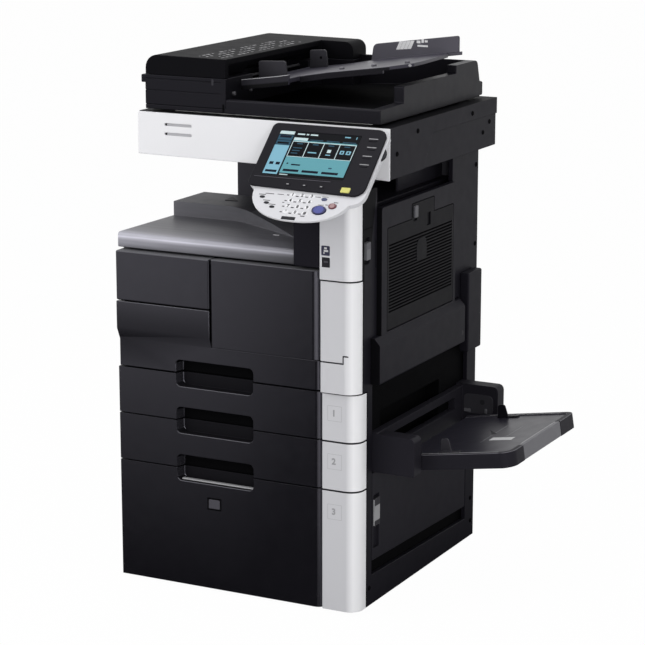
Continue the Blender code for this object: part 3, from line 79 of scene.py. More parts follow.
# Noise scales, in waves per metre
DRIFT_SCALE = 7.0
PATCH_SCALE = 38.0
GRAIN_SCALE = 1.0 / 0.0007
COLUMN_GRAIN = 1430.0
DECK_GRAIN = 1300.0
DECK_STREAKS = 16.0
METAL_STREAKS = 60.0
RASTER_SCALE = 2600.0
SMUDGE_SCALE = 9.0

# Relief depths, in metres
GRAIN_DEPTH = 0.00006
DECK_DEPTH = 0.00005
METAL_DEPTH = 0.00004

COOL_SHEEN = (0.88, 0.86, 1.0)
GLASS_COLOUR = (0.82, 0.9, 0.88)


def feed(node, inputs):
    """Link or set some inputs of a node; a plain colour is given as red, green and blue."""
    for key, value in inputs.items():
        socket = node.inputs[key]
        if isinstance(value, bpy.types.NodeSocket):
            node.id_data.links.new(value, socket)
        elif socket.type == "RGBA":
            socket.default_value = (*value, 1.0)
        else:
            socket.default_value = value


def add_node(kind, inputs, **settings):
    """A new node in the tree that feeds it; gives its outputs."""
    tree = next(value.id_data for value in inputs.values() if isinstance(value, bpy.types.NodeSocket))
    node = tree.nodes.new(kind)
    for key, value in settings.items():
        setattr(node, key, value)
    feed(node, inputs)
    return node.outputs


def new_finish(name):
    finish = bpy.data.materials.new(name)
    finish.use_nodes = True
    return finish, finish.node_tree.nodes.new("ShaderNodeTexCoord").outputs["Object"]


def shaded(finish, inputs):
    feed(finish.node_tree.nodes["Principled BSDF"], inputs)
    return finish


def noise(coords, scale, detail=1.0, stretch=None):
    if stretch is not None:
        coords = add_node("ShaderNodeMapping", {"Vector": coords, "Scale": stretch})["Vector"]
    return add_node("ShaderNodeTexNoise", {"Vector": coords, "Scale": scale, "Detail": detail})[0]


def spread(value, low, high, first=0.3, last=0.7):
    """A value from first to last, by default a noise value, laid out from low to high."""
    inputs = {"Value": value, "From Min": first, "From Max": last, "To Min": low, "To Max": high}
    return add_node("ShaderNodeMapRange", inputs)["Result"]


def mixed(factor, first, second, blend="MIX"):
    """Two colours, mixed or multiplied."""
    inputs = {"Factor": factor, "A": first, "B": second}
    outputs = add_node("ShaderNodeMix", inputs, data_type="RGBA", blend_type=blend)
    return next(socket for socket in outputs if socket.type == "RGBA")


def bump(height, depth, strength):
    return add_node("ShaderNodeBump", {"Height": height, "Distance": depth, "Strength": strength})["Normal"]


def worked_out(operation, first, second):
    """A math node on two values."""
    return add_node("ShaderNodeMath", {0: first, 1: second}, operation=operation)[0]


def axes(vector):
    """The x, y and z of a vector."""
    return add_node("ShaderNodeSeparateXYZ", {"Vector": vector})[:]


def tint(colour, share):
    return tuple(min(1.0, channel * share) for channel in colour)


def moulded(name, colour, rough, specular, strength=0.35, drift=0.06):
    """Moulded plastic: fine spark texture, faint drift of tone and uneven, slightly cool sheen."""
    finish, coords = new_finish(name)
    tone = spread(noise(coords, DRIFT_SCALE, 3.0), 0.0, 1.0)
    patches = noise(coords, PATCH_SCALE, 3.0)
    return shaded(finish, {
        "Base Color": mixed(tone, tint(colour, 1.0 - drift / 2), tint(colour, 1.0 + drift / 2)),
        "Roughness": spread(patches, rough - 0.02, rough + 0.03),
        "Specular IOR Level": specular,
        "Specular Tint": COOL_SHEEN,
        "Normal": bump(noise(coords, GRAIN_SCALE), GRAIN_DEPTH, strength),
    })


def sheet_metal(name, colour, rough, stretch):
    """Plated or brushed sheet: streaks along one direction."""
    finish, coords = new_finish(name)
    streaks = noise(coords, METAL_STREAKS, 4.0, stretch)
    tone = spread(streaks, 0.0, 1.0)
    return shaded(finish, {
        "Base Color": mixed(tone, tint(colour, 0.88), tint(colour, 1.08)),
        "Roughness": spread(streaks, rough - 0.06, rough + 0.08),
        "Metallic": 0.85,
        "Normal": bump(streaks, METAL_DEPTH, 0.2),
    })


def lit(name, colour, glow):
    """A lit patch of a display, or a painted glow on a key: its own colour, glowing, with a fine dot raster.
    """
    finish, coords = new_finish(name)
    dots = spread(noise(coords, RASTER_SCALE, 0.0), 0.0, 1.0)
    shades = mixed(dots, tint(colour, 0.93), tint(colour, 1.05))
    return shaded(finish, {
        "Base Color": shades,
        "Emission Color": shades,
        "Emission Strength": glow,
        "Roughness": 0.30,
        "Specular IOR Level": 0.05,
    })


def clear_glass(name):
    """Clear glass with faint smudges."""
    finish, coords = new_finish(name)
    return shaded(finish, {
        "Base Color": GLASS_COLOUR,
        "Roughness": spread(noise(coords, SMUDGE_SCALE, 4.0), 0.01, 0.06),
        "Transmission Weight": 0.92,
        "IOR": 1.5,
    })


# The lip's foot in y and z; places across the lip are measured along y + z
LIP_FOOT = (-0.2845, 0.7465)
LIP_START = sum(LIP_FOOT) + SHIFT.y
LIP_SPAN = 0.104
LIP_X = (-0.27 + SHIFT.x, 0.13 + SHIFT.x)
# Silver tones across the lip, with a painted highlight on the crest, painted reflection fading back onto the
# deck and painted light making it paler at the left: (place from its foot, tone at the left, tone at the
# right)
LIP_TONES_AND_HIGHLIGHT = ((0.000, 0.20, 0.050), (0.012, 0.32, 0.090), (0.0172, 0.46, 0.16), (0.0205, 0.73, 0.36),
             (0.0240, 0.50, 0.21), (0.036, 0.34, 0.155), (0.060, 0.18, 0.130), (0.104, 0.105, 0.092))
LIP_CAST = (1.0, 0.99, 1.12)


def silver_ramp(factor, column):
    """Silver tones with the painted crest highlight, by place across the lip, from one column of the list,
    with a slightly blue cast.
    """
    ramp = factor.id_data.nodes.new("ShaderNodeValToRGB")
    feed(ramp, {"Fac": factor})
    stops = ramp.color_ramp.elements
    for index, row in enumerate(LIP_TONES_AND_HIGHLIGHT):
        place = row[0] / LIP_SPAN
        stop = stops[index] if index < 2 else stops.new(place)
        stop.position = place
        stop.color = [row[column] * share for share in LIP_CAST] + [1.0]
    return ramp.outputs["Color"]


def deck_finish(name):
    """The output tray: a silver lip with a painted highlight on its crest, painted paler at the left as light
    falls, and a dark streaked deck.
    """
    finish, coords = new_finish(name)
    x, y, z = axes(coords)
    place = spread(worked_out("ADD", y, z), 0.0, 1.0, LIP_START, LIP_START + LIP_SPAN)
    across = spread(x, 0.0, 1.0, *LIP_X)
    silver = mixed(across, silver_ramp(place, 1), silver_ramp(place, 2))
    streaks = noise(coords, DECK_STREAKS, 4.0, (0.35, 5.0, 5.0))
    dimming = mixed(spread(streaks, 0.0, 1.0), (0.84, 0.84, 0.84), (1.14, 1.14, 1.14))
    return shaded(finish, {
        "Base Color": mixed(1.0, silver, dimming, "MULTIPLY"),
        "Roughness": spread(streaks, 0.36, 0.50),
        "Specular IOR Level": 0.30,
        "Normal": bump(noise(coords, DECK_GRAIN), DECK_DEPTH, 0.3),
    })


# How far the corner's painted highlight reaches, by the x of the outward direction
CORNER_HIGHLIGHT_TURN = (0.10, 0.60)


def column_finish(name, front, corner):
    """White column plastic with a painted highlight: a little paler where it turns round the corner to the
    right.
    """
    finish, coords = new_finish(name)
    normal = finish.node_tree.nodes.new("ShaderNodeNewGeometry").outputs["Normal"]
    turn = spread(axes(normal)[0], 0.0, 1.0, *CORNER_HIGHLIGHT_TURN)
    return shaded(finish, {
        "Base Color": mixed(turn, front, corner),
        "Roughness": spread(noise(coords, PATCH_SCALE, 3.0), 0.36, 0.42),
        "Specular IOR Level": 0.25,
        "Normal": bump(noise(coords, COLUMN_GRAIN), GRAIN_DEPTH, 0.12),
    })


APRON_SLOPE = 0.1337
APRON_LEVEL = 1.0997 - APRON_SLOPE * SHIFT.x
APRON_FADE = (-0.0065, -0.0035)
APRON_SHADE = (0.003, 0.003, 0.0036)
APRON_GREY = (0.024, 0.023, 0.029)


def apron_finish(name):
    """The document tray's apron: grey above, and painted shade below a line that follows the tray's slope."""
    finish, coords = new_finish(name)
    x, z = axes(coords)[::2]
    line = worked_out("MULTIPLY", x, APRON_SLOPE)
    rise = worked_out("SUBTRACT", worked_out("SUBTRACT", z, line), APRON_LEVEL)
    return shaded(finish, {
        "Base Color": mixed(spread(rise, 0.0, 1.0, *APRON_FADE), APRON_SHADE, APRON_GREY),
        "Roughness": 0.45,
        "Specular IOR Level": 0.06,
        "Normal": bump(noise(coords, DECK_GRAIN), DECK_DEPTH, 0.3),
    })


BLACK = moulded("satin_black", (0.0063, 0.0060, 0.0080), 0.40, 0.10)
SIDE_BLACK = moulded("side_black", (0.0096, 0.0090, 0.0124), 0.46, 0.06)
# A lighter black, painted light for the rear- and left-facing covers that the lamps leave dark
FAR_SIDE_PAINTED_LIGHT_BLACK = moulded("cover_black", (0.028, 0.027, 0.032), 0.46, 0.20, drift=0.08)
# A lighter copy of the side black: painted light for the low side pieces and the shaded exit wall
SIDE_BLACK_PAINTED_LIGHTER = moulded("lower_black", (0.0150, 0.0142, 0.0185), 0.46, 0.06)
# Painted shade for each drawer's own half of its grip recess
GRIP_SHADE = moulded("grip_black", (0.0090, 0.0087, 0.0105), 0.50, 0.03)
FLAP_BLACK = moulded("flap_black", (0.0056, 0.0054, 0.0068), 0.44, 0.04)
STRIP_BLACK = moulded("strip_black", (0.0040, 0.0039, 0.0047), 0.50, 0.03)
CHARCOAL = moulded("charcoal", (0.0056, 0.0053, 0.0072), 0.22, 0.68, strength=0.12)
DARK = moulded("inner_black", (0.0022, 0.0022, 0.0025), 0.70, 0.02)
WHITE = moulded("white_cover", (0.78, 0.78, 0.80), 0.38, 0.30, drift=0.02, strength=0.12)
PANEL_WHITE = moulded("panel_white", (0.62, 0.62, 0.645), 0.40, 0.25, drift=0.02, strength=0.12)
COLUMN_WHITE_AND_CORNER_HIGHLIGHT = column_finish("column_white", (0.545, 0.545, 0.570), (0.86, 0.86, 0.88))
GREY = moulded("tray_grey", (0.060, 0.058, 0.068), 0.38, 0.30, drift=0.08)
MID_GREY = moulded("mid_grey", (0.12, 0.12, 0.130), 0.42, 0.30, drift=0.08)
LIGHT_GREY = moulded("light_grey", (0.33, 0.33, 0.34), 0.42, 0.40)
BEZEL = moulded("bezel_black", (0.0110, 0.0106, 0.0130), 0.34, 0.06, strength=0.2)
ROLLER = moulded("grooved_roller", (0.055, 0.055, 0.058), 0.62, 0.25, strength=0.6, drift=0.16)
PAD = moulded("white_pad", (0.78, 0.78, 0.77), 0.65, 0.2, drift=0.03)
STEEL = sheet_metal("plated_steel", (0.50, 0.51, 0.53), 0.38, (1.0, 12.0, 1.0))
DRUM = moulded("drum_coating", (0.02, 0.11, 0.13), 0.14, 0.6, strength=0.02, drift=0.05)
GLASS = clear_glass("platen_glass")
DECK = deck_finish("output_deck")
APRON = apron_finish("tray_apron")
BLUE_KEY = moulded("start_blue", (0.052, 0.064, 0.26), 0.28, 0.4, strength=0.1)
RED_KEY = moulded("stop_red", (0.15, 0.05, 0.055), 0.30, 0.4, strength=0.1)
# The yellow key glows faintly: a painted glow
GLOWING_YELLOW_KEY = lit("key_yellow", (0.56, 0.54, 0.17), 0.15)
BLUE_GREY = moulded("reset_blue_grey", (0.055, 0.065, 0.13), 0.35, 0.3)
INK = moulded("print_black", (0.012, 0.012, 0.014), 0.55, 0.2, drift=0.16)
PALE_INK = moulded("print_pale", (0.52, 0.52, 0.53), 0.55, 0.2, drift=0.05)
GREY_INK = moulded("print_grey", (0.30, 0.30, 0.31), 0.55, 0.2, drift=0.05)
PLATE_VIOLET = moulded("plate_violet", (0.026, 0.026, 0.050), 0.35, 0.3)
KEY_NAVY = moulded("key_navy", (0.014, 0.016, 0.075), 0.30, 0.4)
KEY_PALE = moulded("key_pale", (0.34, 0.22, 0.22), 0.35, 0.3)
SCREEN_INK = lit("screen_black", (0.0015, 0.0020, 0.0035), 0.02)
SCREEN_NAVY = lit("screen_navy", (0.004, 0.006, 0.014), 0.10)
SCREEN_TEAL = lit("screen_teal", (0.022, 0.062, 0.095), 0.25)
SCREEN_SKY = lit("screen_sky", (0.165, 0.34, 0.43), 0.25)
SCREEN_CYAN = lit("screen_cyan", (0.094, 0.26, 0.30), 0.25)
SCREEN_WHITE = lit("screen_white", (0.42, 0.52, 0.54), 0.25)
TOP_BLACK = moulded("feeder_top_black", (0.0042, 0.0041, 0.0050), 0.52, 0.03)
# A lighter, glossier black for a painted highlight on the fronts' rolled right edges
ROLLED_EDGE_HIGHLIGHT = moulded("edge_sheen", (0.0170, 0.0165, 0.0200), 0.25, 0.95)
# A grey for a painted highlight along the fronts' top edges
TOP_EDGE_HIGHLIGHT = moulded("edge_light", (0.060, 0.059, 0.066), 0.30, 0.25)
DOC_GREY = moulded("document_grey", (0.031, 0.029, 0.040), 0.36, 0.20, drift=0.08)
WING_GREY = moulded("wing_grey", (0.080, 0.077, 0.092), 0.40, 0.15, drift=0.10)
BLOCK_GREY = moulded("block_grey", (0.058, 0.057, 0.067), 0.45, 0.10, drift=0.10)
LEDGE_PAINTED_LIGHT = moulded("ledge_grey", (0.120, 0.120, 0.130), 0.45, 0.10, drift=0.08)
SEAM_GREY = moulded("seam_grey", (0.030, 0.030, 0.034), 0.60, 0.1, drift=0.16)
SLOT_SHADED_WHITE = moulded("slot_grey", (0.40, 0.40, 0.42), 0.50, 0.2, drift=0.04)
LEVER_GREY = moulded("lever_grey", (0.085, 0.084, 0.092), 0.40, 0.25)
GUIDE_GREY = moulded("guide_grey", (0.030, 0.029, 0.034), 0.42, 0.12)
# A pale grey for painted highlights on tray rims and bumps
RIM_HIGHLIGHT_GREY = moulded("rim_grey", (0.120, 0.117, 0.132), 0.38, 0.25)
TRAY_LILAC = moulded("tray_lilac", (0.021, 0.020, 0.028), 0.34, 0.20, drift=0.10)
DIAL_GREY = moulded("dial_grey", (0.013, 0.013, 0.015), 0.40, 0.2)
BRIGHT_INK = moulded("print_white", (0.70, 0.70, 0.71), 0.55, 0.2, drift=0.05)


# Making pieces

# Corners closer than a weld become one, and faces flatter than FLAT_ANGLE merge
WELD = 0.00001
FIGURE_WELD = 0.000001
FLAT_ANGLE = math.radians(0.6)
SKIN_ANGLE = math.radians(35.0)
PIECE_EDGE_ANGLE = math.radians(40.0)
PIECE_SMOOTH_ANGLE = math.radians(30.0)


def linked(name, data):
    item = bpy.data.objects.new(name, data)
    bpy.context.scene.collection.objects.link(item)
    return item


def baked(item):
    """Turn an object with modifiers into a plain mesh object of the same name."""
    evaluated = item.evaluated_get(bpy.context.evaluated_depsgraph_get())
    mesh = bpy.data.meshes.new_from_object(evaluated)
    name = item.name
    bpy.data.objects.remove(item, do_unlink=True)
    return linked(name, mesh)


def written(bm, mesh):
    bm.to_mesh(mesh)
    bm.free()
    return mesh


def opened(mesh):
    bm = bmesh.new()
    bm.from_mesh(mesh)
    return bm


def smooth(mesh, angle):
    mesh.shade_smooth()
    mesh.set_sharp_from_angle(angle=angle)


# An edge is rolled over as far as its faces leave room, and less where the roll would fold over itself
EDGE_WEIGHT = "bevel_weight_edge"
ROLL_SHARE = 0.40
ROLL_TRIES = 8
ROLL_HALVINGS = 4
FOLD_ANGLE = math.radians(140.0)
FOLD_REACH = 1.2
SMALLEST_FACE = 1e-10
SMALLEST_REACH = 0.0001
STEEP_SHARE = 0.7


def room_beside(edge):
    """The reach of the narrower face beside an edge, or of a shorter edge that meets it."""
    start = edge.verts[0].co
    along = (edge.verts[1].co - start).normalized()
    reach = [max(along.cross(vert.co - start).length for vert in face.verts) for face in edge.link_faces]
    for vert in edge.verts:
        for other in vert.link_edges:
            leg = other.other_vert(vert).co - vert.co
            if along.cross(leg).length > STEEP_SHARE * leg.length:
                reach.append(leg.length)
    return min(reach)


def turns_over(edge, angle):
    return len(edge.link_faces) == 2 and edge.calc_face_angle(0.0) > angle


def weigh_edges(mesh, radius, angle):
    """Mark the sharp edges of a mesh with the share of the radius that each has room for."""
    bm = opened(mesh)
    layer = bm.edges.layers.float.new(EDGE_WEIGHT)
    for edge in bm.edges:
        if turns_over(edge, angle):
            edge[layer] = min(1.0, ROLL_SHARE * room_beside(edge) / radius)
    written(bm, mesh)


def folded_spots(item):
    """Points on a rolled mesh where two faces lie back on each other."""
    graph = bpy.context.evaluated_depsgraph_get()
    graph.update()
    mesh = bpy.data.meshes.new_from_object(item.evaluated_get(graph))
    bm = opened(mesh)
    spots = []
    for edge in bm.edges:
        if turns_over(edge, FOLD_ANGLE) and min(face.calc_area() for face in edge.link_faces) > SMALLEST_FACE:
            first, second = edge.verts
            spots += [first.co.copy(), second.co.copy(), (first.co + second.co) / 2]
    bm.free()
    bpy.data.meshes.remove(mesh)
    return spots


def passes_near(start, end, spots, reach):
    """Whether the line from start to end comes within reach of one of the spots."""
    along = end - start
    for spot in spots:
        part = (spot - start).dot(along) / max(along.length_squared, 1e-12)
        if (start + along * min(max(part, 0.0), 1.0) - spot).length < reach:
            return True
    return False


def ease_edges(mesh, spots, radius, share):
    """Make the roll smaller on the edges near some spots."""
    for edge, weight in zip(mesh.edges, mesh.attributes[EDGE_WEIGHT].data):
        start, end = [mesh.vertices[index].co for index in edge.vertices]
        reach = FOLD_REACH * radius * weight.value + SMALLEST_REACH
        if weight.value > 0.0 and passes_near(start, end, spots, reach):
            weight.value *= share
    mesh.update()


def rounded_edges(item, radius, angle):
    """Roll over the edges that are sharper than an angle."""
    weigh_edges(item.data, radius, angle)
    bevel = item.modifiers.new("edge", "BEVEL")
    bevel.width = radius
    bevel.segments = 2
    bevel.limit_method = "WEIGHT"
    bevel.use_clamp_overlap = False
    bevel.miter_outer = "MITER_ARC"
    for attempt in range(ROLL_TRIES):
        spots = folded_spots(item)
        if not spots:
            break
        ease_edges(item.data, spots, radius, 0.5 if attempt < ROLL_HALVINGS else 0.0)
        item.update_tag()
    even = item.modifiers.new("even_normals", "WEIGHTED_NORMAL")
    even.mode = "FACE_AREA_WITH_ANGLE"
    even.keep_sharp = True
    return baked(item)


def dressed(item, finish):
    item.data.materials.clear()
    item.data.materials.append(finish)


def skin(node, finish, radius, merge):
    """A copy of a CAD node with its edges rolled over, which stands for the node."""
    mesh = frame["nodes"][node].data.copy()
    if "custom_normal" in mesh.attributes:
        mesh.attributes.remove(mesh.attributes["custom_normal"])
    bm = opened(mesh)
    bmesh.ops.remove_doubles(bm, verts=bm.verts, dist=WELD)
    if merge:
        bmesh.ops.dissolve_limit(bm, angle_limit=FLAT_ANGLE, verts=bm.verts, edges=bm.edges)
    smooth(written(bm, mesh), SKIN_ANGLE)
    item = rounded_edges(linked(node + "_skin", mesh), radius, SKIN_ANGLE)
    SKIN_OF[node] = item
    dressed(item, finish)
    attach(item, BODY_OF[node])
    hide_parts(node)


def oval(length, width, sides=28, power=2.4):
    """A rounded outline: an ellipse where power is 2, and squarer above that."""
    points = []
    for i in range(sides):
        turn = 2 * math.pi * i / sides
        c, s = math.cos(turn), math.sin(turn)
        points.append((math.copysign(abs(c) ** (2 / power), c) * length / 2,
                       math.copysign(abs(s) ** (2 / power), s) * width / 2))
    return points


def rectangle(length, width):
    x, y = length / 2, width / 2
    return [(-x, -y), (x, -y), (x, y), (-x, y)]


def bar(x, y, length, width):
    return x, y, rectangle(length, width)


def dot(x, y, length, width, sides=20):
    return x, y, oval(length, width, sides, 2.0)


def ring(x, y, length, width, line):
    """The four bars of a rectangular outline round a point."""
    across, up = (length - line) / 2, (width - line) / 2
    shapes = [bar(x, y + side, length, line) for side in (up, -up)]
    return shapes + [bar(x + side, y, line, width - 2 * line) for side in (across, -across)]


def prism(bm, outline, low, high):
    """A closed block from low to high over a flat outline; gives its faces."""
    floor = [bm.verts.new((x, y, low)) for x, y in outline]
    roof = [bm.verts.new((x, y, high)) for x, y in outline]
    faces = [bm.faces.new(list(reversed(floor))), bm.faces.new(roof)]
    for i in range(len(outline)):
        j = (i + 1) % len(outline)
        faces.append(bm.faces.new((floor[i], floor[j], roof[j], roof[i])))
    return faces


def slabs(name, shapes, face, low, high, finish, edge=0.0):
    """Flat shapes, each (x, y, outline), from low to high over a face: (board, height on it, body)."""
    board, height, body = face
    bm = bmesh.new()
    for x, y, outline in shapes:
        prism(bm, [(x + u, y + v) for u, v in outline], height + low, height + high)
    bmesh.ops.recalc_face_normals(bm, faces=bm.faces)
    bm.transform(board)
    mesh = written(bm, bpy.data.meshes.new(name))
    smooth(mesh, PIECE_SMOOTH_ANGLE)
    item = linked(name, mesh)
    if edge > 0.0:
        item = rounded_edges(item, edge, PIECE_EDGE_ANGLE)
    dressed(item, finish)
    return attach(item, body)


def figure(name, words, size, x, y, face, finish):
    """A plain number as a thin print on a face."""
    board, height, body = face
    curve = bpy.data.curves.new(name, "FONT")
    curve.body = words
    curve.size = size
    curve.align_x = "CENTER"
    curve.align_y = "CENTER"
    curve.resolution_u = 3
    curve.extrude = PRINT_THICKNESS / 2
    curve.offset = size * FIGURE_WEIGHT
    item = baked(linked(name, curve))
    bm = opened(item.data)
    bmesh.ops.remove_doubles(bm, verts=bm.verts, dist=FIGURE_WELD)
    written(bm, item.data)
    item.data.transform(board @ Matrix.Translation((x, y, height)))
    dressed(item, finish)
    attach(item, body)


# Geometry Nodes for what repeats

def start_tree(name, **inputs):
    """A tree that takes geometry, some more inputs and a material; gives its input sockets too."""
    tree = bpy.data.node_groups.new(name, "GeometryNodeTree")
    tree.interface.new_socket("Geometry", in_out="OUTPUT", socket_type="NodeSocketGeometry")
    for label, kind in {"Geometry": "Geometry", **inputs, "Material": "Material"}.items():
        tree.interface.new_socket(label, in_out="INPUT", socket_type="NodeSocket" + kind)
    return tree, tree.nodes.new("NodeGroupInput").outputs


def end_tree(tree, entry, points, unit, placing):
    """Copies of a unit on points, made real and given the material."""
    inputs = {"Points": points, "Instance": unit, **placing}
    copies = add_node("GeometryNodeInstanceOnPoints", inputs)["Instances"]
    real = add_node("GeometryNodeRealizeInstances", {"Geometry": copies})["Geometry"]
    coated = add_node("GeometryNodeSetMaterial", {"Geometry": real, "Material": entry["Material"]})
    add_node("NodeGroupOutput", {"Geometry": coated["Geometry"]})
    return tree


def points_tree():
    """One copy of a unit piece on every point of the object's own mesh, all turned the same way."""
    tree, entry = start_tree("copies_on_points", Unit="Object", Turn="Rotation", Size="Float")
    unit = add_node("GeometryNodeObjectInfo", {"Object": entry["Unit"]})["Geometry"]
    placing = {"Rotation": entry["Turn"], "Scale": entry["Size"]}
    return end_tree(tree, entry, entry["Geometry"], unit, placing)


def ring_tree():
    """Equal ridges round a circle, each one facing outwards."""
    tree, entry = start_tree("ring_of_ridges", Count="Int", Radius="Float", Ridge="Vector")
    inputs = {"Resolution": entry["Count"], "Radius": entry["Radius"]}
    circle = add_node("GeometryNodeCurvePrimitiveCircle", inputs)["Curve"]
    points = add_node("GeometryNodeCurveToPoints", {"Curve": circle}, mode="EVALUATED")
    ridge = add_node("GeometryNodeMeshCube", {"Size": entry["Ridge"]})["Mesh"]
    return end_tree(tree, entry, points["Points"], ridge, {"Rotation": points["Rotation"]})


POINTS_TREE = points_tree()
RING_TREE = ring_tree()


def grown_piece(name, tree, points, values, board, finish, body):
    """Run a Geometry Nodes tree on some points, keep the result as a plain mesh and place it."""
    mesh = bpy.data.meshes.new(name)
    mesh.from_pydata([tuple(point) for point in points], [], [])
    item = linked(name, mesh)
    modifier = item.modifiers.new("repeat", "NODES")
    modifier.node_group = tree
    values = {**values, "Material": finish}
    for socket in tree.interface.items_tree:
        if socket.in_out == "INPUT" and socket.name in values:
            modifier[socket.identifier] = values[socket.name]
    item = baked(item)
    item.data.transform(board)
    smooth(item.data, PIECE_SMOOTH_ANGLE)
    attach(item, body)


SCREW_RADIUS = 0.0036
SCREW_TOP_RADIUS = SCREW_RADIUS * 0.72
SCREW_HEIGHT = 0.0012
SCREW_CROSS = (0.0042, 0.0011)
SCREW_SINK = 0.0008


def screw_unit():
    """A pan-head screw with a cross recess, on the plane z = 0."""
    bm = bmesh.new()
    bmesh.ops.create_cone(bm, cap_ends=True, segments=20, radius1=SCREW_RADIUS, radius2=SCREW_TOP_RADIUS,
                          depth=SCREW_HEIGHT, matrix=Matrix.Translation((0.0, 0.0, SCREW_HEIGHT / 2)))
    head = linked("screw_head", written(bm, bpy.data.meshes.new("screw_head")))
    cutters = []
    for across, along in (SCREW_CROSS, SCREW_CROSS[::-1]):
        size = Matrix.Diagonal((across, along, SCREW_SINK, 1.0))
        bm = bmesh.new()
        bmesh.ops.create_cube(bm, size=1.0, matrix=Matrix.Translation((0.0, 0.0, SCREW_HEIGHT)) @ size)
        cutter = linked("screw_cut", written(bm, bpy.data.meshes.new("screw_cut")))
        cutters.append(cutter)
        cut = head.modifiers.new("cross", "BOOLEAN")
        cut.object = cutter
        cut.operation = "DIFFERENCE"
        cut.solver = "EXACT"
    head = baked(head)
    for cutter in cutters:
        bpy.data.objects.remove(cutter, do_unlink=True)
    head.hide_render = True
    return head


SCREW = screw_unit()
TO_RIGHT = (0.0, math.pi / 2, 0.0)
TO_LEFT = (0.0, -math.pi / 2, 0.0)
TO_REAR = (-math.pi / 2, 0.0, 0.0)


def screws(name, points, turn, size=1.0):
    """Dark screws on the machine, on points given from the middle of the body, their heads along turned z."""
    values = {"Unit": SCREW, "Turn": turn, "Size": size}
    points = [Vector(point) + SHIFT for point in points]
    grown_piece(name, POINTS_TREE, points, values, Matrix.Identity(4), DARK, "machine")


BODY_OF = {}
for body_name, members in frame["record"]["behaviour"]["bodies"].items():
    for member in members:
        BODY_OF[member] = body_name
SKIN_OF = {}


# Covers and shells with rolled edges

# Pieces with rows of slots keep their own triangles, which a merged face can't hold
GRIDS = ("duplex_cover", "rear_cover")
DRAWER_FRONTS = ("drawer_front_1", "drawer_front_2", "drawer_front_3")
WHITES = ("column_upper", "column_lower", "drawer_cap_1", "drawer_cap_2", "drawer_cap_3")
SKINS = (
    # Rear and left covers in the lighter black, as painted light
    (FAR_SIDE_PAINTED_LIGHT_BLACK, 0.0012, ("left_cover", "rear_cover", "rear_column")),
    (BLACK, 0.0012, ("feeder_base", "feeder_head")),
    (TOP_BLACK, 0.0012, ("feeder_top_cover",)),
    (SIDE_BLACK, 0.0010, ("right_cover", "scanner_housing", "exit_housing")),
    (CHARCOAL, 0.0014, ("upper_left_cover", "lower_left_cover", "front_door", *DRAWER_FRONTS)),
    (SIDE_BLACK, 0.0008, ("side_door",)),
    (SIDE_BLACK_PAINTED_LIGHTER, 0.0008, ("bypass_tray", "bypass_frame", "lower_side_door")),
    (FLAP_BLACK, 0.0004, ("duplex_cover",)),
    (WHITE, 0.0012, ("scanner_front_panel",)),
    (COLUMN_WHITE_AND_CORNER_HIGHLIGHT, 0.0012, WHITES),
    (PANEL_WHITE, 0.0012, ("panel_shell",)),
    (BEZEL, 0.0010, ("panel_bezel",)),
    (DOC_GREY, 0.0010, ("document_tray",)),
    (BLACK, 0.0008, ("bypass_guide_rear", "feeder_lever")),
    (GUIDE_GREY, 0.0008, ("document_guide_front", "document_guide_rear", "bypass_guide_front")),
    (MID_GREY, 0.0008, ("bypass_extension",)),
    (GREY, 0.0006, ("release_button",)),
    (DIAL_GREY, 0.0006, ("brightness_dial",)),
    (LEVER_GREY, 0.0006, ("duplex_lever", "side_latch")),
    (LIGHT_GREY, 0.0006, ("lower_latch",)),
    (DECK, 0.0010, ("output_tray",)),
    (KEY_NAVY, 0.0008, ("start_key",)),
    (RED_KEY, 0.0008, ("stop_key",)),
    (GLOWING_YELLOW_KEY, 0.0006, ("yellow_key",)),
)
for finish, radius, members in SKINS:
    for member in members:
        skin(member, finish, radius, member not in GRIDS)


# Second finishes: painted shade in the grips, louvres and other hollows, painted highlights on rolled and top
# edges and on rims, lighter paint on unlit sides, seams, tray floors and latch ends

ANY = (-math.inf, math.inf)


def over(low):
    return low, math.inf


def under(high):
    return -math.inf, high


def region(x=ANY, y=ANY, z=ANY, facing_x=ANY, facing_y=ANY, facing_z=ANY):
    """A test for faces whose middle and outward direction lie in some spans."""
    spans = (x, y, z, facing_x, facing_y, facing_z)

    def holds(at, facing):
        return all(low < value < high for value, (low, high) in zip((*at, *facing), spans))

    return holds


def paint(nodes, finish, *regions, board=TOP_BOARD):
    """A second finish on those faces of some skins that lie in one of the regions, measured on a board."""
    to_board = board.inverted()
    for node in nodes:
        mesh = SKIN_OF[node].data
        mesh.materials.append(finish)
        for face in mesh.polygons:
            at = to_board @ face.center
            if any(holds(at, face.normal) for holds in regions):
                face.material_index = len(mesh.materials) - 1


FRONTS = ("lower_left_cover", *DRAWER_FRONTS)
FLAT = over(0.9)
SLANTED_UP = (0.25, 0.97)
FRONTWARD = under(-0.5)
GRIP = {"x": (-0.152, 0.050), "y": (-0.287, -0.263)}
ROLLED_EDGE = region(facing_x=over(0.17), facing_y=under(-0.25), facing_z=(-0.2, 0.2))
TOP_EDGE = region(y=under(-0.2875), facing_y=under(-0.3), facing_z=over(0.3))
SEAM_SIDES = (region(facing_z=over(0.6)), region(facing_z=under(-0.6)))
STEP_Z = (0.547, 0.568)
STEP_GROOVE = (region(y=over(-0.2990), z=STEP_Z, facing_y=under(-0.9)),
               region(x=under(0.2885), z=STEP_Z, facing_x=FLAT))
BEHIND_FLAP = region(x=under(0.2960), y=(-0.175, 0.162), z=(0.595, 0.850), facing_x=FLAT)
LOUVRE_Z = (0.625, 0.790)
LOUVRES = (region(z=LOUVRE_Z, facing_z=over(0.4)), region(z=LOUVRE_Z, facing_z=under(-0.4)))
FAR_SIDES = (region(facing_y=over(0.5)), region(facing_x=under(-0.5)))
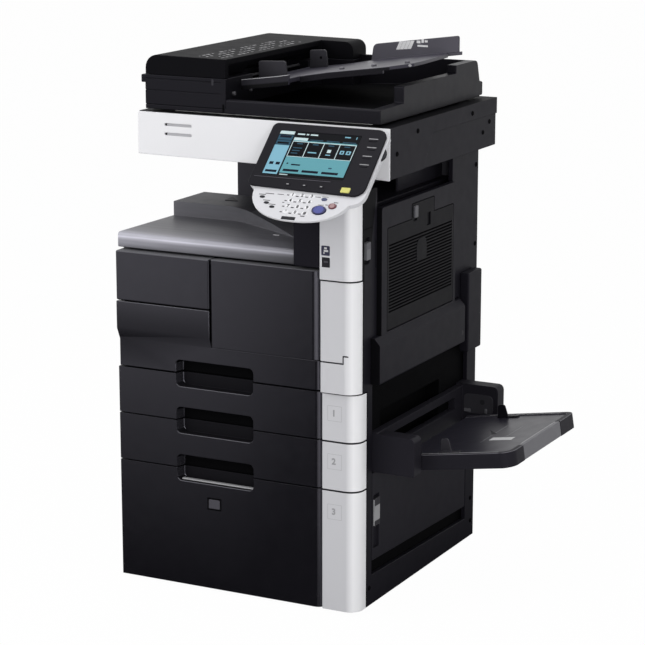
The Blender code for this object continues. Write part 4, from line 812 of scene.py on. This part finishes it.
BASIN = region(x=over(-0.085), z=under(1.0575), facing_z=over(0.5))
TRAY_FRONT = {"x": over(0.045), "y": under(-0.070)}
APRON_Y = under(-0.110)
TRAY_FLOOR_Z = (TRAY_FLOOR - 0.001, TRAY_FLOOR + 0.001)
TRAY_RIM_Z = over(TRAY_FLOOR + 0.0003)

# Painted shade: the grip recesses near-black, and each drawer's upper half of its recess in a lighter painted
# shade
paint(FRONTS, DARK, region(**GRIP))
for front in DRAWER_FRONTS:
    box = frame["nodes"][front].bound_box
    middle = sum(corner[2] for corner in box) / len(box)
    paint((front,), GRIP_SHADE, region(**GRIP, z=over(middle)))
# Painted highlight: the fronts' rolled right edges in a lighter, glossier black
paint(FRONTS + ("front_door",), ROLLED_EDGE_HIGHLIGHT, ROLLED_EDGE)
paint(WHITES, SEAM_GREY, *SEAM_SIDES)
paint(("column_lower",), SEAM_GREY, *STEP_GROOVE)
# Painted highlight: the bevels along the fronts' top edges in light grey
paint(FRONTS + ("front_door", "upper_left_cover"), TOP_EDGE_HIGHLIGHT, TOP_EDGE)
paint(("right_cover",), STRIP_BLACK, region(y=under(-0.198), facing_x=FLAT))
# Painted shade: the side door's front-facing end faces in the darkest black
paint(("side_door",), STRIP_BLACK, region(x=over(0.290), facing_y=FRONTWARD))
# Painted shade: the side door behind the louvred flap and the louvres' upper and lower faces near-black
paint(("side_door",), DARK, BEHIND_FLAP)
paint(("duplex_cover",), DARK, *LOUVRES)
# Painted light: the covers' top ledge, which the lip shades, in grey
paint(("upper_left_cover", "front_door"), LEDGE_PAINTED_LIGHT, region(z=over(0.7375), facing_z=over(0.8)))
# Painted light: rear- and left-facing faces in the lighter black
paint(("scanner_housing", "feeder_base", "feeder_head"), FAR_SIDE_PAINTED_LIGHT_BLACK, *FAR_SIDES)
paint(("scanner_housing",), STRIP_BLACK, region(z=over(1.020), facing_z=FLAT))
paint(("output_tray",), BLOCK_GREY, region(z=over(0.800), facing_z=FLAT))
paint(("document_tray",), WING_GREY, region(y=over(0.15), facing_y=under(-0.9)))
# Painted shade: the basin's upward faces under the document tray near-black
paint(("feeder_base",), DARK, BASIN)
# Painted shade: the apron dark below its sloped line
paint(("document_tray",), APRON, region(y=APRON_Y, facing_y=FRONTWARD))
# Painted shade on the tray's front faces, and painted highlight on its rims and the apron's upward slopes
paint(("document_tray",), BEZEL, region(**TRAY_FRONT, facing_y=FRONTWARD))
paint(("document_tray",), RIM_HIGHLIGHT_GREY, region(**TRAY_FRONT, facing_z=SLANTED_UP))
paint(("document_tray",), LIGHT_GREY, region(y=APRON_Y, facing_z=SLANTED_UP))
paint(("bypass_tray",), TRAY_LILAC, region(z=TRAY_FLOOR_Z, facing_z=FLAT), board=BYPASS_FRAME)
# Painted highlight: the bypass tray's rim faces in pale grey
paint(("bypass_tray",), RIM_HIGHLIGHT_GREY, region(z=TRAY_RIM_Z, facing_z=(0.2, 0.97)), board=BYPASS_FRAME)
paint(("side_latch",), MID_GREY, region(z=under(0.781)))
paint(("lower_latch",), GUIDE_GREY, region(z=over(0.213)))

# Inner pieces keep their solids and get a finish
INNER = (
    (STEEL, ("lift_plate_1", "lift_plate_2", "lift_plate_3", "scan_carriage")),
    (DARK, ("chassis", "drawer_box_1", "drawer_box_2", "drawer_box_3", "laser_unit")),
    (MID_GREY, ("fuser_unit",)),
    (LIGHT_GREY, ("toner_bottle",)),
    (DRUM, ("drum",)),
    (GLASS, ("platen_glass",)),
    (PAD, ("platen_pad",)),
    (ROLLER, ("feed_roller",)),
    (SCREEN_INK, ("touch_screen",)),
)
for finish, members in INNER:
    for member in members:
        slots = frame["nodes"][member].data.materials
        slots.clear()
        slots.append(finish)


# Display picture by finish and layer: tiles as (left, right, top, bottom) in shares of the screen
PANE_LEFTS = [0.208 + 0.193 * pane for pane in range(4)]
PICTURE = (
    (SCREEN_WHITE, 1, [(0.00, 0.18, 0.00, 0.07), (0.20, 0.37, 0.13, 0.19), (0.22, 0.31, 0.035, 0.065),
                       (0.33, 0.36, 0.035, 0.065), (0.38, 0.47, 0.035, 0.065), (0.21, 0.31, 0.955, 0.975)]),
    (SCREEN_TEAL, 1, [(0.00, 0.18, 0.09, 0.20), (0.00, 0.18, 0.21, 0.31)]
     + [(0.40 + 0.20 * mark, 0.56 + 0.20 * mark, 0.155, 0.172) for mark in range(3)]),
    (SCREEN_SKY, 1, [(0.00, 0.18, 0.32, 0.97), (0.80, 0.87, 0.035, 0.060), (0.94, 0.95, 0.03, 0.08)]),
    (SCREEN_CYAN, 1, [(0.20, 0.98, 0.19, 0.93)]),
    (SCREEN_NAVY, 2, [(0.02, 0.16, 0.10, 0.15), (0.03, 0.08, 0.70, 0.76), (0.11, 0.16, 0.70, 0.76),
                      (0.02, 0.16, 0.88, 0.93), (0.23, 0.42, 0.84, 0.89), (0.46, 0.66, 0.84, 0.89),
                      (0.70, 0.90, 0.84, 0.89), (0.24, 0.26, 0.70, 0.73), (0.30, 0.41, 0.72, 0.75)]),
    (SCREEN_INK, 2, [(0.02, 0.16, 0.25, 0.29)]),
    (SCREEN_WHITE, 2, [(0.20, 0.98, 0.21, 0.56)]),
    (SCREEN_TEAL, 2, [(0.76, 0.80, 0.74, 0.77)]),
    (SCREEN_INK, 3, [(left, left + 0.184, 0.225, 0.550) for left in PANE_LEFTS]),
    (SCREEN_TEAL, 4, [(left + 0.055, left + 0.125, 0.25, 0.275) for left in PANE_LEFTS]
     + [(0.235, 0.345 - 0.015 * row, 0.35 + 0.06 * row, 0.37 + 0.06 * row) for row in range(3)]),
    (SCREEN_SKY, 4, [(0.435, 0.540, 0.43, 0.455), (0.655, 0.715, 0.46, 0.48), (0.815, 0.865, 0.35, 0.43),
                     (0.890, 0.945, 0.35, 0.43)]),
    (SCREEN_WHITE, 4, [(0.660, 0.705, 0.35, 0.42)]),
    (SCREEN_INK, 5, [(0.830, 0.850, 0.37, 0.41), (0.907, 0.928, 0.37, 0.41)]),
)
TILE_LAYER = 0.00005


def display_picture():
    """Plain tiles for the display's layout, in thin layers over the glass."""
    bm = bmesh.new()
    finishes = []
    width = SCREEN_X[1] - SCREEN_X[0]
    height = SCREEN_S[1] - SCREEN_S[0]
    for finish, layer, tiles in PICTURE:
        if finish not in finishes:
            finishes.append(finish)
        high = SCREEN_FACE + layer * TILE_LAYER
        for left, right, top, bottom in tiles:
            x0, x1 = [SCREEN_X[0] + share * width for share in (left, right)]
            y0, y1 = [-SCREEN_S[0] - share * height for share in (bottom, top)]
            for face in prism(bm, [(x0, y0), (x1, y0), (x1, y1), (x0, y1)], high - TILE_LAYER, high):
                face.material_index = finishes.index(finish)
    bm.transform(PANEL_FRAME)
    mesh = written(bm, bpy.data.meshes.new("display_picture"))
    for finish in finishes:
        mesh.materials.append(finish)
    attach(linked("display_picture", mesh), "panel")


display_picture()


# Control panel keys and marks

NUMBER_KEY = (0.0125, 0.008)
NUMBER_COLUMNS = (0.1645, 0.1862, 0.208)
NUMBER_ROWS = (0.181, 0.1955, 0.21, 0.2245)
NUMBER_LABELS = ("1", "2", "3", "4", "5", "6", "7", "8", "9", "*", "0", "#")
NUMBER_SIZE = 0.01
KEY_LIFT = 0.0009
KEY_SINK = 0.0006
KEY_EDGE = 0.0004
DECK_FACE = -0.0002
UNIT = (Matrix.Identity(4), 0.0, "panel")
PANEL = (PANEL_FRAME, 0.0, "panel")
KEY_TOPS = (PANEL_FRAME, DECK_FACE + KEY_LIFT, "panel")
BEZEL_TOP = (PANEL_FRAME, 0.005, "panel")


def number_keys():
    """Twelve equal keys in a grid, with a figure on each."""
    shape = (0.0, 0.0, oval(*NUMBER_KEY, 24))
    unit = slabs("number_key_unit", [shape], UNIT, -KEY_SINK, KEY_LIFT, WHITE, KEY_EDGE)
    unit.parent = None
    unit.hide_render = True
    points = [(x, -s, DECK_FACE) for s in NUMBER_ROWS for x in NUMBER_COLUMNS]
    values = {"Unit": unit, "Turn": (0.0, 0.0, 0.0), "Size": 1.0}
    grown_piece("number_keys", POINTS_TREE, points, values, PANEL_FRAME, WHITE, "panel")
    bpy.data.objects.remove(unit, do_unlink=True)
    for index, label in enumerate(NUMBER_LABELS):
        figure("number_%d" % index, label, NUMBER_SIZE, *points[index][:2], KEY_TOPS, INK)


number_keys()

MODE_KEYS = ((0.0985, 0.1925), (0.1135, 0.2065), (0.1295, 0.2155))
MODE_KEY = oval(0.0115, 0.0058)
slabs("mode_keys", [(x, -s, MODE_KEY) for x, s in MODE_KEYS], PANEL, -0.001, 0.0012, INK, KEY_EDGE)
slabs("reset_key", [(0.238, -0.186, oval(0.013, 0.0075))], PANEL, -0.001, 0.0012, BLUE_GREY, KEY_EDGE)
slabs("name_bar", [bar(0.1765, -0.2402, 0.031, 0.008)], PANEL, -0.001, 0.0003, INK)
# Bars that stand for print on the deck
DECK_BARS = [
    bar(0.238, -0.1795, 0.014, 0.0011), bar(0.2355, -0.2005, 0.012, 0.0012),
    bar(0.2665, -0.1915, 0.01, 0.0016), bar(0.112, -0.183, 0.02, 0.0016),
    bar(0.137, -0.1825, 0.014, 0.0014), bar(0.222, -0.1815, 0.012, 0.0014),
    bar(0.1505, -0.202, 0.005, 0.0016), bar(0.2055, -0.232, 0.01, 0.002),
    bar(0.248, -0.199, 0.006, 0.0016),
]
DECK_BARS += [bar(x - 0.002, 0.0062 - s, 0.016, 0.0016) for x, s in MODE_KEYS]
for s in NUMBER_ROWS:
    DECK_BARS += [bar(x + 0.0108, -s - 0.003, 0.0062, 0.0023) for x in NUMBER_COLUMNS[:2]]
    DECK_BARS.append(bar(NUMBER_COLUMNS[0] - 0.0105, -s - 0.0015, 0.005, 0.0023))
slabs("key_marks", DECK_BARS, PANEL, DECK_FACE, DECK_FACE + 0.0003, INK)

SOFT_KEYS = ((0.292, 0.027), (0.296, 0.049), (0.294, 0.072), (0.295, 0.094))
SOFT_KEY = oval(0.019, 0.0048, power=4.0)
STRIP_KEYS = ((0.1456, 0.159), (0.1835, 0.159), (0.2221, 0.159))
STRIP_KEY = oval(0.012, 0.006, power=4.0)
slabs("soft_keys", [(x, -s - 0.0045, SOFT_KEY) for x, s in SOFT_KEYS], BEZEL_TOP, -0.001, 0.001, BEZEL,
      KEY_EDGE)
slabs("soft_marks", [bar(x, -s, 0.0205, 0.002) for x, s in SOFT_KEYS], BEZEL_TOP, 0.0, PRINT_THICKNESS,
      GREY_INK)
slabs("strip_edge", [bar(0.15, -0.1445, 0.176, 0.0012)], BEZEL_TOP, -0.0005, 0.0006, GREY, 0.0003)
slabs("strip_keys", [(x, -s, STRIP_KEY) for x, s in STRIP_KEYS], BEZEL_TOP, -0.001, 0.0008, BEZEL, 0.0003)
slabs("strip_marks", [bar(x, -s, 0.0052, 0.0022) for x, s in STRIP_KEYS], BEZEL_TOP, 0.0007, 0.0009, GREY_INK)

KEY_CENTRES = (("start_key", (0.0225, 0.018), BLUE_KEY), ("stop_key", (0.0105, 0.0105), KEY_PALE))
for node, size, finish in KEY_CENTRES:
    corners = [PANEL_FRAME.inverted() @ vertex.co for vertex in frame["nodes"][node].data.vertices]
    middle = sum(corners, Vector()) / len(corners)
    key_top = (PANEL_FRAME, max(corner.z for corner in corners), node)
    slabs(node + "_centre", [dot(middle.x, middle.y, *size, 28)], key_top, -0.0002, PRINT_THICKNESS, finish)

DIAL_AT = (0.31, -0.0595, -0.005)
DIAL_RIDGES = {"Count": 48, "Radius": 0.0186, "Ridge": (0.001, 0.001, 0.0046)}
grown_piece("dial_ridges", RING_TREE, [], DIAL_RIDGES, PANEL_FRAME @ Matrix.Translation(DIAL_AT), DIAL_GREY,
            "brightness_dial")


# Drawer numbers, column plate, port, grip ledge and button surround

COLUMN = (FRONT_BOARD, 0.304, "machine")
DRAWER = (FRONT_BOARD, 0.29, "drawer_3")
CAP_FACE = 0.292
CAP_NUMBERS = (("drawer_1", 0.4392), ("drawer_2", 0.335), ("drawer_3", 0.2257))
CAP_NUMBER_SIZE = 0.0185
CAP_MARK_X = 0.2355
CAP_RING_X = CAP_MARK_X + 0.002
for number, (body_name, z) in enumerate(CAP_NUMBERS, 1):
    cap = (FRONT_BOARD, CAP_FACE, body_name)
    figure("cap_number_%d" % number, str(number), CAP_NUMBER_SIZE, CAP_MARK_X, z, cap, GREY_INK)
    outline = ring(CAP_RING_X, z, 0.033, 0.033, 0.0006)
    slabs("cap_outline_%d" % number, outline, cap, -0.0001, 0.00008, LIGHT_GREY)
PLATE = oval(0.0195, 0.0205, 32, 10.0)
slabs("column_plate", [(0.2225, 0.7845, PLATE)], COLUMN, -0.0004, 0.0004, PLATE_VIOLET, 0.0002)
PLATE_MARKS = [bar(0.2235, 0.784, 0.01, 0.004), bar(0.2225, 0.7895, 0.006, 0.004),
               bar(0.219, 0.7795, 0.003, 0.003)]
slabs("column_plate_mark", PLATE_MARKS, COLUMN, 0.0003, 0.0005, PALE_INK)
slabs("port_insert", [bar(0.2225, 0.76, 0.0186, 0.0196)], COLUMN, -0.0055, -0.001, INK)
slabs("port_tongue", [bar(0.2225, 0.761, 0.009, 0.0035)], COLUMN, -0.0015, -0.0006, GREY)
slabs("grip_ledge", [bar(-0.047, 0.2465, 0.176, 0.003)], DRAWER, -0.012, -0.0035, LIGHT_GREY, 0.0006)
BUTTON_RING = ring(-0.0535, 0.2, 0.0345, 0.0275, 0.003)
slabs("button_surround", BUTTON_RING, DRAWER, -0.0005, 0.0003, DARK, 0.0002)


# Feeder: label marks on the top, exit-roller ends, joint marks and the scanner's slot floors

FEEDER_TOP = 1.144
FEEDER_FALL = 0.0109
COVER_BOARD = TOP_BOARD @ Matrix.Translation((0.0, 0.0, FEEDER_TOP)) @ Matrix.Rotation(FEEDER_FALL, 4, "Y")
COVER = (COVER_BOARD, 0.0, "feeder_top_cover")
LABEL_ROWS = (-0.158, -0.14, -0.12, -0.102)
LABEL_STEPS = 20
LABEL_PITCH = 0.0185
LABEL_FRONT = -0.15
ROLLER_END = (RIGHT_BOARD, -0.073, "feeder")
HEAD = (FRONT_BOARD, 0.18, "feeder")
SLOT_FLOOR = (FRONT_BOARD, 0.1912, "machine")
SLOT_HEIGHTS = (1.0, 0.9797)


def label_marks():
    """Rows of plain dashes of changing length along the top cover."""
    shapes = []
    for row, x in enumerate(LABEL_ROWS):
        for step in range(LABEL_STEPS):
            length = 0.005 + 0.0025 * ((3 * step + 5 * row) % 4)
            width = 0.0035 + 0.002 * ((step + row) % 3)
            if (step + 2 * row) % 5 < 4:
                shapes.append(bar(x, LABEL_FRONT + LABEL_PITCH * step, width, length))
    return shapes


slabs("top_label_marks", label_marks(), COVER, -0.0002, 0.0001, GREY_INK)
ROLLER_ENDS = [dot(-0.148, 1.0705, 0.0085, 0.0085), dot(-0.074, 1.0705, 0.007, 0.007)]
slabs("exit_roller_ends", ROLLER_ENDS, ROLLER_END, -0.0065, 0.0, LEVER_GREY, 0.001)
slabs("head_joint", [bar(-0.0845, 1.041, 0.0045, 0.018)], HEAD, -0.0005, 0.0003, DARK)
slabs("head_mark", [bar(-0.1105, 1.0955, 0.005, 0.013)], HEAD, -0.0005, 0.0004, GUIDE_GREY, 0.0003)
SLOT = oval(0.061, 0.0054, 24, 6.0)
# The slot floors are the panel's white, painted greyer as shade
slabs("slot_floors", [(-0.1872, z, SLOT) for z in SLOT_HEIGHTS], SLOT_FLOOR, -0.0036, 0.0, SLOT_SHADED_WHITE)


# Document tray: bumps, pale spots at the corners, guide stud and a plain label on the wing

# The tray's upper side in (x, height), from its low end
TRAY_LINE = ((-0.069, 1.0905), (0.017, 1.102), (0.108, 1.118), (0.297, 1.144))


def tray_height(x):
    """Height of the document tray's upper side."""
    for (x0, z0), (x1, z1) in zip(TRAY_LINE, TRAY_LINE[1:]):
        if x <= x1:
            return z0 + (z1 - z0) * (x - x0) / (x1 - x0)
    return TRAY_LINE[-1][1]


# The bumps are in the pale rim grey, as a painted highlight on their tops
BUMPS = (0.116, 0.192, 0.27)
for index, x in enumerate(BUMPS):
    tray_top = (TOP_BOARD, tray_height(x), "document_tray")
    slabs("tray_bump_%d" % index, [dot(x, -0.02, 0.012, 0.009)], tray_top, -0.002, 0.0045, RIM_HIGHLIGHT_GREY, 0.0015)
TRAY_CUT = (Vector((0.255, -0.078, 0.0)), Vector((0.297, -0.045, 0.0)))
CUT_LINE = TRAY_CUT[1] - TRAY_CUT[0]
CUT_TURN = Matrix.Rotation(math.atan2(CUT_LINE.y, CUT_LINE.x), 4, "Z")
CUT_BOARD = Matrix.Translation(TRAY_CUT[0] + SHIFT) @ CUT_TURN @ Matrix.Rotation(math.pi / 2, 4, "X")
CUT = (CUT_BOARD, 0.0, "document_tray")
TRAY_SIDE = (FRONT_BOARD, 0.075, "document_tray")
GUIDE = (FRONT_BOARD, -0.1625, "document_guide_rear")
WING = (FRONT_BOARD, -0.1991, "document_tray")
PALE_SPOT = (0.007, 0.0055)
slabs("tray_stud_left", [dot(0.023, 1.0988, *PALE_SPOT)], TRAY_SIDE, 0.0, 0.0028, LIGHT_GREY, 0.0005)
slabs("tray_stud_right", [dot(0.0445, 1.1392, *PALE_SPOT)], CUT, -0.0005, 0.0012, LIGHT_GREY, 0.0005)
slabs("guide_stud", [dot(-0.028, 1.118, 0.006, 0.006)], GUIDE, 0.0, 0.0013, DARK, 0.0003)
SLANTED = [(-0.0085, -0.0095), (0.0, -0.009), (0.0085, 0.0095), (0.0, 0.009)]
WING_MARKS = [(0.148 + 0.0092 * step, 1.15 + 0.0009 * step, SLANTED) for step in range(4)]
WING_MARKS += [bar(0.194, 1.16, 0.009, 0.006), bar(0.204, 1.1625, 0.006, 0.008),
               bar(0.2125, 1.162, 0.007, 0.0046), bar(0.204, 1.1515, 0.025, 0.004)]
slabs("wing_label", WING_MARKS, WING, 0.0, 0.0003, BRIGHT_INK)


# Output tray: paper flag and stop

BLOCK_TOP = (TOP_BOARD, 0.8055, "machine")
DECK_TOP = (TOP_BOARD, 0.7745, "machine")
FLAG = [(-0.01, -0.018), (0.02, -0.013), (-0.016, 0.028)]
slabs("paper_flag", [(-0.18, 0.026, FLAG)], BLOCK_TOP, 0.0, 0.0017, INK)
slabs("paper_stop", [bar(0.031, -0.16, 0.014, 0.005)], DECK_TOP, 0.0, 0.002, LIGHT_GREY, 0.0005)


# Right side: an upright wall on the exit housing, seams and holes in the covers

EXIT_WALL = (RIGHT_BOARD, 0.2375, "machine")
RIGHT_COVER = (RIGHT_BOARD, 0.29, "machine")
BULGE = (RIGHT_BOARD, 0.312, "side_door")
# The wall is in the lighter copy of the side black, as painted light
slabs("exit_wall", [bar(0.11, 0.8902, 0.23, 0.056)], EXIT_WALL, 0.0, 0.005, SIDE_BLACK_PAINTED_LIGHTER, 0.0006)
RIGHT_LINES = [bar(-0.2085, 0.767, 0.0026, 0.058), bar(-0.247, 0.8265, 0.042, 0.002),
               dot(-0.2135, 0.558, 0.005, 0.005, 16), dot(-0.233, 0.048, 0.006, 0.006, 16)]
slabs("right_lines", RIGHT_LINES, RIGHT_COVER, -0.0004, 0.00015, DARK)
slabs("bulge_hole", [dot(0.192, 0.519, 0.009, 0.011)], BULGE, -0.0004, 0.00015, INK)


# Bypass: rear bracket, and plain size marks, a label and rim lines of painted highlight on the tray

BRACKET = (FRONT_BOARD, -0.2288, "machine")
TRAY = (BYPASS_FRAME, TRAY_FLOOR, "bypass_tray")
BRACKET_PLATE = oval(0.072, 0.046, power=5.0)
slabs("bypass_bracket", [(0.337, 0.347, BRACKET_PLATE)], BRACKET, -0.0015, 0.0, GUIDE_GREY, 0.0006)
slabs("bypass_bracket_hole", [dot(0.347, 0.353, 0.012, 0.012, 24)], BRACKET, -0.0002, 0.0004, INK)
BRACKET_BITS = [bar(0.3105, 0.331, 0.016, 0.0075), bar(0.356, 0.333, 0.006, 0.011)]
slabs("bypass_bracket_bits", BRACKET_BITS, BRACKET, -0.0002, 0.0018, LEVER_GREY, 0.0008)
SIZE_MARKS = [bar(0.128, 0.01, 0.0012, 0.15), bar(0.168, 0.03, 0.0012, 0.09)]
ARROW = [(0.014, -0.018), (0.022, -0.01), (-0.01, 0.028)]
slabs("bypass_marks", SIZE_MARKS, TRAY, 0.0, PRINT_THICKNESS, GREY_INK)
slabs("bypass_arrow", [(0.112, 0.02, ARROW)], TRAY, 0.0, PRINT_THICKNESS, INK)
slabs("bypass_label", [bar(0.166, -0.036, 0.052, 0.024)], TRAY, 0.0, PRINT_THICKNESS, BRIGHT_INK)
# Pale lines along the rim: painted highlight
RIM_HIGHLIGHT_LINES = [bar(0.11, -0.1635, 0.205, 0.0022), bar(0.2345, 0.0, 0.0022, 0.19),
             bar(0.13, 0.1795, 0.17, 0.0022)]
slabs("bypass_rim_lines", RIM_HIGHLIGHT_LINES, TRAY, 0.002, 0.0028, LIGHT_GREY, 0.0003)


# Latches: a darker upper half on the side latch, and on the lower latch a dark head and foot

SIDE_LATCH = (RIGHT_BOARD, 0.2943, "side_latch")
LOWER_LATCH = (RIGHT_BOARD, 0.2924, "lower_latch")
slabs("side_latch_shade", [bar(-0.2505, 0.7915, 0.0176, 0.014)], SIDE_LATCH, 0.0, 0.00035, GREY)
LOWER_SHADES = [bar(-0.2, 0.2315, 0.0252, 0.016), bar(-0.2, 0.1855, 0.0252, 0.01)]
slabs("latch_shades", LOWER_SHADES, LOWER_LATCH, 0.0, 0.0003, GUIDE_GREY)


# Screws

LARGE = 1.6
SCANNER_SCREWS = ((-0.055, 1.004), (0.23, 1.006), (0.332, 0.975))
REAR_ROWS = (0.045, 0.255, 0.3, 0.465, 0.51, 0.715)
COVER_SCREWS = ((0.2985, 0.1006), (0.3005, 0.0456), (-0.233, 0.048), (0.305, 0.7), (0.305, 0.88))
screws("scanner_screws_right", [(0.3118, -0.055, 1.004), (0.3118, 0.23, 1.006), (0.3088, 0.332, 0.975),
                                (0.3088, 0.296, 0.955), (0.3118, -0.156, 0.969)], TO_RIGHT, LARGE)
screws("scanner_screws_left", [(-0.2888, y, z) for y, z in SCANNER_SCREWS], TO_LEFT)
screws("right_cover_screws", [(0.2898, y, z) for y, z in COVER_SCREWS], TO_RIGHT, LARGE)
screws("rear_screws", [(x, 0.3178, z) for x in (-0.265, 0.265) for z in REAR_ROWS], TO_REAR)
screws("rear_column_screws", [(x, 0.3128, z) for x in (-0.27, 0.0, 0.262) for z in (0.76, 0.9)], TO_REAR)


# Stage, light and camera

WORLD_AMBIENT = 0.3
FLOOR_SIZE = 14.0
FLOOR_GREY = (0.86, 0.86, 0.86)
FLOOR_WHITE_SHARE = 0.985
# In mirror images the floor is white far out to the left and right, and dark close in front of the machine
WHITE_REACH = (-2.95, -0.3)
WHITE_FALL = 1.3
WHITE_SLANT = (0.405, 0.58)
WHITE_RIGHT = (0.1, 1.2)


def ray_kinds(tree):
    return tree.nodes.new("ShaderNodeLightPath").outputs


def light_path_white(tree):
    """1 for rays that should see a plain white surround: from the camera, mirrors and glass."""
    rays = ray_kinds(tree)
    seen = worked_out("MAXIMUM", rays["Is Camera Ray"], rays["Is Glossy Ray"])
    return worked_out("MAXIMUM", seen, rays["Is Transmission Ray"])


def make_world():
    world = bpy.data.worlds.new("studio")
    bpy.context.scene.world = world
    world.use_nodes = True
    tree = world.node_tree
    strength = spread(light_path_white(tree), WORLD_AMBIENT, 1.0, 0.0, 1.0)
    feed(tree.nodes["Background"], {"Color": (1.0, 1.0, 1.0), "Strength": strength})


def reflected_floor(tree, coords):
    """How bright the floor looks: 1 to every ray but a mirror's."""
    x, y = axes(coords)[:2]
    reach = worked_out("POWER", spread(y, 1.0, 0.0, *WHITE_REACH), WHITE_FALL)
    slant = spread(worked_out("DIVIDE", x, y), 0.0, 1.0, *WHITE_SLANT)
    right = spread(x, 0.0, 1.0, *WHITE_RIGHT)
    share = worked_out("MAXIMUM", worked_out("MULTIPLY", reach, slant), right)
    return spread(ray_kinds(tree)["Is Glossy Ray"], 1.0, share, 0.0, 1.0)


def make_floor():
    """A matt grey floor that looks white to the camera, and part white and part dark in mirror images."""
    finish, coords = new_finish("studio_floor")
    shaded(finish, {"Base Color": FLOOR_GREY, "Roughness": 0.9, "Specular IOR Level": 0.0})
    tree = finish.node_tree
    matt = tree.nodes["Principled BSDF"].outputs["BSDF"]
    glow = add_node("ShaderNodeEmission", {"Strength": reflected_floor(tree, coords)})["Emission"]
    share = worked_out("MULTIPLY", light_path_white(tree), FLOOR_WHITE_SHARE)
    mix = add_node("ShaderNodeMixShader", {"Fac": share, 1: matt, 2: glow})
    feed(tree.nodes["Material Output"], {"Surface": mix["Shader"]})
    bm = bmesh.new()
    bmesh.ops.create_grid(bm, x_segments=1, y_segments=1, size=FLOOR_SIZE)
    mesh = written(bm, bpy.data.meshes.new("floor"))
    mesh.materials.append(finish)
    linked("floor", mesh)


def softbox(name, at, towards, size, power):
    lamp = bpy.data.lights.new(name, "AREA")
    lamp.shape = "RECTANGLE"
    lamp.size = size[0]
    lamp.size_y = size[1]
    lamp.energy = power
    item = linked(name, lamp)
    item.location = at
    item.rotation_euler = (Vector(towards) - Vector(at)).to_track_quat("-Z", "Y").to_euler()


make_world()
make_floor()
softbox("key_left", (-1.9, -1.9, 2.3), (-0.2, -0.2, 0.8), (1.6, 1.6), 30.0)
softbox("front_soft", (-1.6, -3.0, 1.5), (0.0, -0.2, 0.7), (1.2, 1.2), 10.0)
softbox("key_right", (2.2, -3.4, 1.3), (0.1, -0.2, 0.7), (1.3, 1.3), 44.0)
softbox("top_wide", (0.0, -0.1, 3.4), (0.0, 0.0, 0.8), (2.4, 2.4), 38.0)
softbox("fill_right", (3.4, -0.8, 1.1), (0.1, 0.0, 0.5), (1.8, 2.0), 13.0)

camera = bpy.data.cameras.new("camera")
camera.sensor_width = 36.0
camera.lens = CAMERA_LENS
viewer = linked("camera", camera)
viewer.location = CAMERA_AT
viewer.rotation_euler = (math.radians(90.0 - CAMERA_ELEVATION), 0.0, math.radians(CAMERA_AZIMUTH))
scene = bpy.context.scene
scene.camera = viewer
scene.view_settings.view_transform = "Standard"

bpy.data.objects.remove(SCREW, do_unlink=True)
